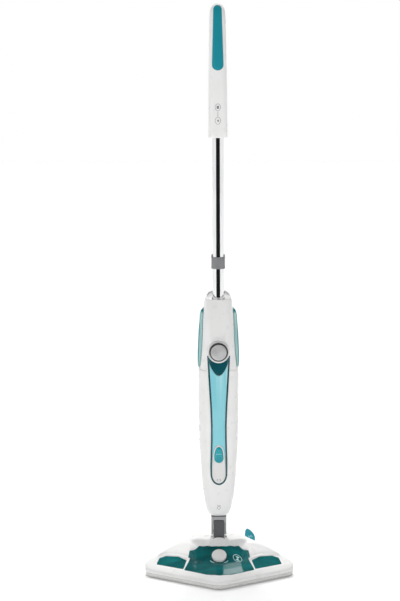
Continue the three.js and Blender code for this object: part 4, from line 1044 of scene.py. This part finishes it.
def settle_hose(hose):
    """The hose, cut in two at the joint: the lower half rides on the head, the upper half stays where it is.
    """
    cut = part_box("neck_hose_upper")[0].z
    hose.data.materials.append(HOSE)
    hose.data.shade_smooth()
    lower, upper = hose, hose.copy()
    upper.data = hose.data.copy()
    bpy.context.scene.collection.objects.link(upper)
    for made, keep_low in ((lower, True), (upper, False)):
        work = bmesh.new()
        work.from_mesh(made.data)
        geometry = work.verts[:] + work.edges[:] + work.faces[:]
        halves = bmesh.ops.bisect_plane(
            work, geom=geometry, plane_co=(0, 0, cut - 0.00015), plane_no=(0, 0, 1),
            clear_outer=keep_low, clear_inner=not keep_low)
        edges = [e for e in halves["geom_cut"] if isinstance(e, bmesh.types.BMEdge)]
        bmesh.ops.holes_fill(work, edges=edges)
        work.to_mesh(made.data)
        work.free()
    lower.name, upper.name = "hose_lower", "hose_upper"
    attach(lower, "head")
    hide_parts("neck_hose_lower")
    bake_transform(upper)
    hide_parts("neck_hose_upper")


# ---------- steam unit ----------

UNIT_TOP = 594
SLOPE = math.tan(math.atan2(17, 53))  # of the top opening, which leans to the front


def slant(y):
    """Height of the top opening's edge."""
    return 584.9 + SLOPE * y


def unit_top(line):
    """Heights of a ring's points once the top opening is cut aslant."""
    start = 560.0
    share = np.clip((line[:, 2] - start) / (UNIT_TOP - start), 0, None)
    z = np.where(line[:, 2] > start, start + share * (slant(line[:, 1]) - start), line[:, 2])
    return z[len(LIPS):-len(LIPS)]


def unit_rows():
    heights = [z for z in heights_of(BODY_ROWS, 4.0) if z < UNIT_TOP]
    rows = [(z, 0.0, z, -WALL, 16.9 if z < 123.9 else None) for z in heights]
    edge = [(593.4, 0), (593.85, 0.15), (UNIT_TOP, 0.6)]
    return rows + [(z, -fall, z, -WALL + fall, None) for z, fall in edge]


def insert_outline(amount):
    flank = [(x - amount, z) for x, z in FRAME_SIDE]
    x, z = flank[-1]
    top = FRAME_SIDE[0][1] - amount
    return ([(-x, min(z, top)) for x, z in flank] + ellipse(0, z, x, 24 - amount, 180, 360, 28)[1:-1]
            + [(x, min(z, top)) for x, z in flank[::-1]])


def panel_outline(amount):
    flank = [(x - 3.6 - amount, z) for x, z in FRAME_SIDE if z < 441]
    x, z = flank[-1]
    start, end = ((a, b - 2.4 * amount) for a, b in (PANEL_TOP[0], PANEL_TOP[-1]))
    start = (start[0] - amount, start[1])
    crest = [start] + bezier(start, (12.5, 430.5 - 2.4 * amount), (5.5, end[1]), end, steps=14)
    return ([(0, end[1])] + [(-a, b) for a, b in crest[-2::-1]] + [(-a, b) for a, b in flank]
            + ellipse(0, z, x, 20.4 - amount, 180, 360, 28)[1:-1] + flank[::-1] + crest[:-1])


def egg_outline(amount):
    low, half, deep, high = 249.5, 9.2 - amount, 9.6 - amount, 273.4 - amount
    return (ellipse(0, low, half, deep, 180, 360, 28)
            + bezier((half, low), (half, 262), (half - 3, high), (0, high))
            + bezier((0, high), (3 - half, high), (-half, 262), (-half, low))[:-1])


def plate_outline(amount):
    half, high = 13.2 - amount, 277.6 - amount
    return ([(-half, 236)] + ellipse(0, 215, half + 0.6, 20.1 - amount, 180, 360, 28) + [(half, 236)]
            + bezier((half, 236), (half, 262), (7.4 - amount, high), (0, high))
            + bezier((0, high), (amount - 7.4, high), (-half, 262), (-half, 236))[:-1])


def body_shells():
    front = solid("shell_front", half_shell(BODY, unit_rows(), -1, unit_top))
    recess = inlay(insert_outline(-GAP), [], BODY.surface, 14, -1.5, 0, 3.0)
    seat = bar((0, -70, DIAL_Z), (0, -38.4, DIAL_Z), BEZEL_R + GAP, sides=96)
    spindle = bar((0, -70, DIAL_Z), (0, -20, DIAL_Z), 4)
    carve(front, recess, seat, spindle, upright(egg_outline(-0.5), -70, -20, 0))
    settle(front, "unit", WHITE, ["front_shell"], 30)

    rear = solid("shell_rear", half_shell(BODY, unit_rows(), 1, unit_top))
    outlet = bar((0, 10, OUTLET_Z), (0, 30, OUTLET_Z), 8.4)
    latch = bar((0, 10, LATCH_Z), (0, 40, LATCH_Z), 5.9)
    cord = bar((0, 18, GLAND_Z), (0, 40, GLAND_Z), 6.4)
    screws = [(low + high) / 2 / MM for low, high in (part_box("rear_screw_1"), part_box("rear_screw_2"))]
    carve(rear, outlet, latch, cord, *[bar((0, 0, at.z), (0, 45, at.z), 2.3) for at in screws])
    settle(rear, "unit", WHITE, ["rear_shell"], 30)


def collar():
    """The white funnel that closes the top opening round the pole."""
    turns = np.linspace(0, 2 * math.pi, 96, endpoint=False)
    bore = POLE_R + 1.1
    edge = BODY.ring(585.0, turns, -WALL - 0.1)
    for _ in range(4):
        edge = BODY.ring(slant(edge[:, 1]) - 4, turns, -WALL - 0.1)
    hole = np.stack([bore * np.cos(turns), bore * np.sin(turns), edge[:, 2]], 1)
    loops = []
    for share, depth in ((0, 3.4), (0.5, 5.0), (1, 6.4), (1, 8.2), (0.5, 6.8), (0, 5.2)):
        line = edge + (hole - edge) * share
        line[:, 2] = slant(line[:, 1]) - depth
        loops.append(line)
    piece("collar_funnel", rings(loops, "loop"), "unit", WHITE, (), 50)


def front_inserts():
    surface = BODY.surface
    dial_hole = ellipse(0, DIAL_Z, BEZEL_R + 0.7, BEZEL_R + 0.7, steps=96)
    border = inlay(insert_outline(0), [panel_outline(-0.3), dial_hole], surface, 0.9, -1.2, 0.45, 1.8, 1.2)
    piece("insert_border", border, "unit", TEAL_DEEP, ["insert_frame"], 30)
    panel = inlay(panel_outline(0), [plate_outline(-0.3)], surface, 0.45, -1.2, 0.5, 2.0, 1.2)
    piece("insert_face", panel, "unit", AQUA, ["insert_panel"], 30)
    plate = inlay(plate_outline(0), [egg_outline(-0.5)], surface, 1.0, -1.2, 0.5, 1.6, 1.0)
    piece("button_surround", plate, "unit", WHITE_SATIN, ["button_plate"], 30)
    rim = inlay(egg_outline(-2.6), [egg_outline(-0.55)], surface, 1.9, 0.6, 0.5, 1.0)
    piece("button_rim", rim, "unit", WHITE)


def release_button():
    """An egg-shaped button with a fine line across it and a thumb dish below."""
    def dish(u, v, d):
        hollow = np.hypot(u / 6.6, (v - 249.0) / 6.6)
        line = np.exp(-((v - 258.6) / 0.45) ** 2) * (np.abs(u) < 6.4)
        crown = 0.5 * smoothstep(d, 0, 5)
        return 2.9 + crown - 1.5 * (1 - smoothstep(hollow, 0.72, 1.0)) - 0.35 * line
    part = inlay(egg_outline(0), [], BODY.surface, dish, -6, 0.8, 0.7, 0.8)
    stem = upright(rounded(-3, 3, 244, 256, 0.6), -38, -21.5, 0)
    piece("button_release", merge(part, stem), "release", TEAL_BRIGHT, ["release_button"], 30)
    disc = inlay(ellipse(0, 249.0, 5.6, 5.6), [], BODY.surface, 2.05, 1.4, 0.25, 0.8)
    piece("button_dish", disc, "release", TEAL)
    line = stroke([(-5.6, 258.6), (0, 258.75), (5.6, 258.6)], 0.6)
    printed("button_line", [[line]], BODY.surface, 3.3, 2.6, "release")


DIAL_PLACE = Matrix.Translation((0, 0, DIAL_Z)) @ Matrix.Rotation(math.pi / 2, 4, "X")
DISC_R = 16.3
TEETH = 44  # round the dial's ring


def dial():
    """A silver disc with a pinched grip, in a ribbed dark ring, in a thin white bezel."""
    ring = hoop(DIAL_R + 0.8, BEZEL_R, 39, 45.4, 0.9, 128)
    floor_r = DIAL_R + 1.4
    floor = turned([(0.001, 38.8), (floor_r, 38.8), (floor_r, 41.4), (0.001, 41.4)], 96)
    bezel = moved(merge(ring, floor), DIAL_PLACE)
    piece("bezel_ring", bezel, "unit", WHITE, ["dial_bezel"], 30)

    radii = list(np.linspace(0.001, DISC_R - 0.7, 26)) + [DISC_R - 0.35, DISC_R - 0.1, DISC_R]
    turns = np.linspace(0, 2 * math.pi, 144, endpoint=False)
    twist = np.cos(2 * (turns - math.radians(35)))
    rows = []
    for r in radii:
        fall = max(0, r - (DISC_R - 0.7)) ** 2 * 1.1
        pinch = 0.35 * twist * smoothstep(r, 1.5, 9) * (1 - smoothstep(r, 12.5, 15.6))
        rows.append((r, 52.6 + 0.5 * (1 - (r / DISC_R) ** 2) + pinch - fall))
    rows += [(DISC_R, np.full(len(turns), 46.0)), (0.001, np.full(len(turns), 46.0))]
    loops = [np.stack([r * np.cos(turns), r * np.sin(turns), height], 1) for r, height in rows]
    face = moved(merge(rings(loops), bar((0, 0, 34), (0, 0, 47), 3)), DIAL_PLACE)
    piece("dial_face", face, "dial", SILVER, ["steam_dial"], 40)

    turns = np.linspace(0, 2 * math.pi, TEETH * 6, endpoint=False)
    notch = 0.7 * (np.cos(turns * TEETH) < -0.1)
    outline = [(16.5, 43), (DIAL_R, 43), (DIAL_R, 51.3), (DIAL_R - 0.5, 52), (17.0, 52.2), (16.5, 51.9)]
    loops = []
    for r, height in outline:
        reach = r - notch * (r > 18)
        loops.append(np.stack([reach * np.cos(turns), reach * np.sin(turns), 0 * turns + height], 1))
    piece("dial_ribs", moved(rings(loops, "loop"), DIAL_PLACE), "dial", CHARCOAL, (), 25)


def unit_marks():
    """Small printed signs: an open lock above the joint, and two chevrons on the button's plate."""
    lock = stroke([(0, 136.6), (-3.6, 140.2), (-2.2, 143.4), (2.2, 143.4), (3.6, 140.2), (0, 136.6)], 0.8)
    shackle = stroke([(-3.4, 145.6), (-1.2, 144.6), (1.2, 145.6), (3.4, 144.6)], 0.7)
    arrows = [stroke([(s * 1.6, 204.6), (s * 4.4, 202), (s * 1.6, 199.4)], 0.8) for s in (-1, 1)]
    printed("mark_shell", [[lock], [shackle]], BODY.surface, 0.08, -0.3, "unit", PRINT_GREY)
    printed("mark_plate", [[arrow] for arrow in arrows], BODY.surface, 1.08, 0.6, "unit", PRINT_GREY)


# ---------- rear of the unit ----------

def rear_fittings():
    (_, _, low), (_, far, high) = box("carry_handle")
    top, bottom, far = high - 11, low + 11, far - 11
    path = [(0, 29, top - 1), (0, 50, top - 3), (0, far - 6, top - 18),
            (0, far - 0.6, (top + bottom) / 2 + 4), (0, far - 8, bottom + 24), (0, 48, bottom + 4),
            (0, 29, bottom)]
    grip = swept(path, 8.5, 10.6, 32, 72, 2.5)
    piece("grip_carry", grip, "unit", WHITE, ["carry_handle"], 40)
    inner = swept([(x, y - 9.4, z) for x, y, z in path[2:5]], 5.2, 1.7, 20, 40, 2.4)
    piece("grip_carry_inlay", inner, "unit", TEAL_SOFT, (), 40)
    (_, _, z0), (_, y1, z1) = box("lower_cord_hook")
    hook = [(29, 213), (58, 213), (58, z0 + 2), (y1, z0), (y1, 214), (59, 218.5), (29, 218.5)]
    arm = sideways(soften(hook, 2.2, 5), 7, 0.8)
    foot = upright(rounded(-9, 9, z1 - 20, z1, 3), 28, 34.4, 0.8)
    piece("hook_lower", merge(arm, foot), "unit", GREY, ["lower_cord_hook"], 34)


def gland():
    """A ribbed strain sleeve where the power cord would leave."""
    start, end = Vector((0, 27.4, GLAND_Z)), Vector((0, 46, GLAND_Z - 4))
    length = (end - start).length
    profile = [(3.4, 0), (3.4, length)]
    count = 4 * 6  # four points to a rib
    for k in range(count + 1):
        share = 1 - k / count
        rib = 0.55 if k % 4 in (1, 2) else 0.0
        profile.append((7.4 - 2.4 * share - rib, share * length))
    sleeve = turned(profile, 40, aimed(start, end), "loop")
    piece("gland_sleeve", sleeve, "unit", CHARCOAL, ["cable_gland"], 34)


# ---------- water tank ----------

def water_tank():
    wall = 2.2
    heights = heights_of(TANK_ROWS, 5.0)
    floor, top = heights[0], heights[-1]
    core = [433.6] + [z for z in heights_of(BODY_ROWS, 8.0) if 433.6 < z < 560] + [558]
    inner = [floor + wall] + [z for z in heights[2:-1] if z < top - wall - 1] + [top - wall]
    shell = solid("tank_clear", loft(TANK_SECTION, heights, 0))
    hollow = solid("hollow", loft(TANK_SECTION, inner, -wall))
    carve(hollow, block(-70, 70, -40, 2.7, 400, 600), loft(BODY_CORE, core, 2.8))
    carve(shell, block(-70, 70, -40, 0.5, 400, 600), loft(BODY_CORE, core, 0.6))
    carve(shell, bar((0, 48, CAP_Z), (0, 60.5, CAP_Z), 14, sides=48), operation="UNION")
    carve(shell, hollow)
    carve(shell, bar((0, 40, CAP_Z), (0, 70, CAP_Z), 11.5, sides=48))
    carve(shell, bar((0, 20, OUTLET_Z), (0, 30, OUTLET_Z), 3))
    settle(shell, "tank", TANK, ["water_tank"], 30)
    place = Matrix.Translation((0, 10.6, OUTLET_Z)) @ TO_REAR
    spout = turned([(3, 0), (5.3, 0), (5.3, 14.8), (3, 14.8)], 40, place, "loop")
    piece("outlet", spout, "tank", TANK)
    levels = []
    for side in (-1, 1):
        for z in (456, 470, 484, 498, 512):
            line = stroke([(side * x, z) for x in np.linspace(9, 22, 8)], 0.9)
            levels.append(inlay(line, [], TANK_SECTION.rear_surface, 0.35, -0.6, 0.15, 1.2))
    piece("tank_levels", merge(*levels), "tank", PRINT)


def tank_cap():
    """A capped filler with a hinge at its top and a lip to lift it by."""
    place = Matrix.Translation((0, 0, CAP_Z)) @ TO_REAR
    lid = soften([(0.001, 60.9), (15, 60.9), (14.4, 64.4), (0.001, 64.6)], 0.7, 4, False)
    plug = turned([(0.001, 55), (9.8, 55), (11.1, 61), (0.001, 61)], 48, place)
    hinge = bar((-7, 62.4, CAP_Z + 17), (7, 62.4, CAP_Z + 17), 2, 2, 24)
    strap = upright(rounded(-7, 7, CAP_Z + 10, CAP_Z + 17, 1), 61, 64, 0.5)
    tongue = upright(rounded(-5, 5, CAP_Z - 18.5, CAP_Z - 10, 2), 61.4, 65, 0.6)
    part = merge(turned(lid, 72, place), plug, hinge, strap, tongue)
    piece("cap_filler", part, "cap", TEAL, ["tank_cap"], 34)


# ---------- pole and handle ----------

def pole():
    (_, _, z0), (_, _, z1) = box("pole_tube")
    tube = hoop(POLE_R - 1.1, POLE_R, z0, z1, 0.3, 128)
    piece("pole_chrome", tube, "pole", CHROME, ["pole_tube"], 30)


def handle_rows():
    """The half shell's rows. The inside stops short of the rounded top."""
    bore = POLE_R + 0.45
    foot = [(908, -0.9, 908, 0, bore + 0.4), (908.25, -0.35, 908.25, 0, bore), (909, 0, 909, 0, bore)]
    heights = [z for z in heights_of(HANDLE_ROWS, 4.0) if z >= 909]
    return foot + [(z, 0.0, min(z, 1171), -2.4, bore if z < 916 else None) for z in heights]


def grip_outline(amount):
    top, low = 8.6 - amount, 11.8 - amount
    return (ellipse(0, 1055, low, 11.6 - amount, 180, 360, 30) + [(top, 1166)]
            + ellipse(0, 1166, top, 9.4 - amount, 0, 180, 24)[1:])


def handle():
    front = half_shell(HANDLE, handle_rows(), -1)
    piece("shell_handle_front", front, "pole", WHITE, ["handle_front"], 30)
    rear = solid("shell_handle_rear", half_shell(HANDLE, handle_rows(), 1))
    carve(rear, bar((0, 0, HOOK_Z), (0, 30, HOOK_Z), 3.4), bar((0, 0, SCREW_Z), (0, 30, SCREW_Z), 2.4))
    settle(rear, "pole", WHITE, ["handle_rear"], 30)

    def crown(u, v, d):
        return 0.5 + 0.95 * smoothstep(d, 0, 7)
    grip = inlay(grip_outline(0), [], HANDLE.surface, crown, -1.1, 0.6, 1.6, 1.2)
    piece("grip_soft", grip, "pole", TEAL_SOFT, ["grip_insert"], 30)
    lip = inlay(grip_outline(-2.0), [grip_outline(-0.35)], HANDLE.surface, 0.4, -0.6, 0.35, 1.0)
    piece("grip_lip", lip, "pole", WHITE)


def handle_marks():
    """Two linked rings with small generic signs, printed below the grip."""
    shapes = [[ellipse(0, z, 5.9, 7.2), ellipse(0, z, 5.2, 6.5)] for z in (969.5, 942.5)]
    shapes.append([stroke([(0, 950.5), (0, 956), (0, 961.5)], 0.8)])
    shapes.append([[(-2.4, 966.5), (2.4, 966.5), (2.4, 972.5), (-2.4, 972.5)]])
    shapes.append([ellipse(0.4, 942.5, 1.7, 2.2)])
    printed("mark_handle", shapes, HANDLE.surface, 0.08, -0.3, "pole", PRINT_GREY)


def cord_fittings():
    (_, _, z0), (_, y1, z1) = box("cord_clip")
    band_top = 664.5
    band = hoop(POLE_R + 0.4, CLIP_R, z0, band_top, 0.7, 72)
    prongs = []
    for x in (-13.3, 13.3):
        prongs.append(flat(rounded(x - 0.9, x + 0.9, -3.5, 3.5, 0.8), band_top - 2, 669.3, 0.4))
    arm = [(13, 646), (34, 646), (y1, 650), (y1, z1 - 2), (35, z1), (34, 652), (13, 652)]
    rims = [hoop(CLIP_R - 0.4, CLIP_R + 0.25, z, z + 1.2, 0.3, 72) for z in (z0 + 2, band_top - 3.2)]
    part = merge(band, *prongs, sideways(soften(arm, 1.8, 5), 6, 0.7), *rims)
    piece("clip_cord", part, "clip", GREY, ["cord_clip"], 34)

    place = Matrix.Translation((0, 0, HOOK_Z)) @ TO_REAR
    pivot = turned([(0.001, 12.2), (5, 12.2), (5, 13.6), (3, 13.6), (3, 17.6), (0.001, 17.6)], 40, place)
    disc = soften([(0.001, 17.5), (11, 17.5), (10, 21.5), (0.001, 21.5)], 0.8, 4, False)
    _, (_, y1, z1) = box("upper_cord_hook")
    reach = [(20, 931), (46, 931), (y1, HOOK_Z), (y1, z1 - 3), (46.5, z1), (46, 938), (20, 938)]
    part = merge(pivot, turned(disc, 64, place), sideways(soften(reach, 2.0, 5), 7, 0.8))
    piece("hook_upper", part, "hook", GREY, ["upper_cord_hook"], 34)


# CAD nodes that stay: finish, the width of their softened edges, and names.
CARRIED = [
    (CHARCOAL, 0.3, "scent_cup"),
    (CHARCOAL, 0.4, "flow_valve"),
    (CHARCOAL, 0.5, "head_base pump"),
    (GREY_DARK, 0.4, "outlet_socket"),
    (GREY_DARK, 0.5, "steam_manifold lower_fork neck_cross"),
    (GREY, 0.3, "release_latch"),
    (GREY, 0.4, "neck_spigot"),
    (GREY, 0.5, "pole_latch"),
    (WHITE_SATIN, 0.5, "pole_socket"),
    (STEEL, 0.1, "button_spring"),
    (STEEL, 0.2, "rear_screw_1 rear_screw_2 handle_screw"),
    (STEEL, 0.3, "pitch_pin_left pitch_pin_right roll_pin_front roll_pin_rear"),
    (STEEL, 0.4, "thermostat"),
    (ALUMINIUM, 0.8, "boiler"),
    (BOARD, 0.2, "control_board"),
    (RUBBER, 0, "neck_seal"),
    (RUBBER, 0.2, "tank_seat"),
    (RUBBER, 0.5, "pump_mount"),
    (HOSE, 0, "steam_pipe water_hose feed_hose"),
]


# ---------- studio ----------

def card(name, corners, colours, value=None, **settings):
    """A plain rectangle that belongs to the studio."""
    mesh = bpy.data.meshes.new(name)
    mesh.from_pydata(corners, [], [(0, 1, 2, 3)])
    made = bpy.data.objects.new(name, mesh)
    bpy.context.scene.collection.objects.link(made)
    f = Finish(name, Roughness=0.9, **settings)
    drift = f.noise(4) if value is None else f.spread(f.noise(*value), 0, 1)
    f.link(f.mix(drift, *[rgb(code) for code in colours]), "Base Color")
    mesh.materials.append(f.material)
    return made


def floor():
    reach = 30
    corners = [(-reach, -reach, 0), (reach, -reach, 0), (reach, reach, 0), (-reach, reach, 0)]
    made = card("floor", corners, ("f8f8f8", "fafafa"), (3, 2), Specular_IOR_Level=0.1)
    made.location.z = -0.0004


def flag():
    """A dark card in front of the mop that only shiny surfaces see."""
    half, top, at = 1.3, 2.4, -1.6
    corners = [(-half, at, 0), (half, at, 0), (half, at, top), (-half, at, top)]
    made = card("flag", corners, ("161718", "1c1d1e"), Specular_IOR_Level=0.0)
    made.visible_camera = made.visible_diffuse = made.visible_shadow = made.visible_transmission = False


def lamp(name, kind, energy, rotation, location=(0, 0, 0), **settings):
    """A lamp that shiny surfaces don't mirror."""
    data = bpy.data.lights.new(name, kind)
    data.energy = energy
    for key, value in settings.items():
        setattr(data, key, value)
    made = bpy.data.objects.new(name, data)
    made.location = location
    made.rotation_euler = rotation
    made.visible_glossy = False
    bpy.context.scene.collection.objects.link(made)


def backdrop():
    """White surroundings. Shiny surfaces see a dark gap round the front and a bright card high behind."""
    world = bpy.data.worlds.new("studio")
    bpy.context.scene.world = world
    world.use_nodes = True
    tree = world.node_tree
    tree.nodes.clear()
    new = tree.nodes.new
    link = tree.links.new

    def sum_of(operation, a, b):
        made = new("ShaderNodeMath")
        made.operation = operation
        for socket, value in zip(made.inputs, (a, b)):
            if isinstance(value, (int, float)):
                socket.default_value = value
            elif value is not None:
                link(value, socket)
        return made.outputs[0]

    def product(*values):
        made = values[0]
        for value in values[1:]:
            made = sum_of("MULTIPLY", made, value)
        return made

    def mixed(factor, a, b):
        return sum_of("ADD", product(factor, b), product(sum_of("SUBTRACT", 1, factor), a))

    def ramp(value, low, high, start, end):
        made = new("ShaderNodeMapRange")
        made.interpolation_type = "SMOOTHSTEP"
        link(value, made.inputs["Value"])
        for key, number in (("From Min", start), ("From Max", end), ("To Min", low), ("To Max", high)):
            made.inputs[key].default_value = number
        return made.outputs["Result"]

    parts = new("ShaderNodeSeparateXYZ")
    link(new("ShaderNodeTexCoord").outputs["Generated"], parts.inputs[0])
    x, y, z = parts.outputs
    aside = sum_of("ABSOLUTE", sum_of("ARCTAN2", x, product(y, -1)), None)  # 0 toward the front
    gap = ramp(aside, 0.03, 1.0, math.radians(30), math.radians(40))
    around = product(gap, ramp(z, 1, 0.12, 0.12, 0.3))
    behind = sum_of("ARCTAN2", x, y)  # 0 toward the back
    rise, fall = math.radians(3.8), math.radians(24)
    bright = product(ramp(behind, 0, 1, rise, math.radians(4.6)), ramp(behind, 1, 0, fall, math.radians(34)),
                     ramp(z, 0, 1, 0.34, 0.42), ramp(z, 1, 0, 0.6, 0.7))
    shiny = sum_of("ADD", around, product(bright, 2.2))
    ray = new("ShaderNodeLightPath").outputs
    clear = sum_of("MAXIMUM", ray["Is Camera Ray"], ray["Is Transmission Ray"])
    background = new("ShaderNodeBackground")
    link(mixed(ray["Is Glossy Ray"], mixed(clear, 0.26, 1.0), shiny), background.inputs["Strength"])
    background.inputs["Color"].default_value = (1, 1, 1, 1)
    link(background.outputs[0], new("ShaderNodeOutputWorld").inputs["Surface"])


def studio():
    """A weak key in front, and a broad sun from behind that throws the shadow forward."""
    backdrop()
    key_at = Vector((-0.5, -3.0, 1.5))
    aim = (Vector((0, 0, 0.6)) - key_at).to_track_quat("-Z", "Y").to_euler()
    lamp("key", "AREA", 24, aim, key_at, shape="RECTANGLE", size=0.9, size_y=0.9)
    lamp("overhead", "SUN", 3.5, (math.radians(-36), math.radians(-3), 0), angle=math.radians(50))
    flag()
    bpy.context.scene.view_settings.view_transform = "Standard"


# ---------- assembly ----------

for build in (head_shell, windows, head_marks, pad, tab, scent_knob, neck, body_shells, collar,
              front_inserts, release_button, dial, unit_marks, rear_fittings, gland, water_tank,
              tank_cap, pole, handle, handle_marks, cord_fittings):
    build()
for node_finish, node_bevel, names in CARRIED:
    for node_name in names.split():
        carried(node_name, node_finish, node_bevel)
floor()
studio()
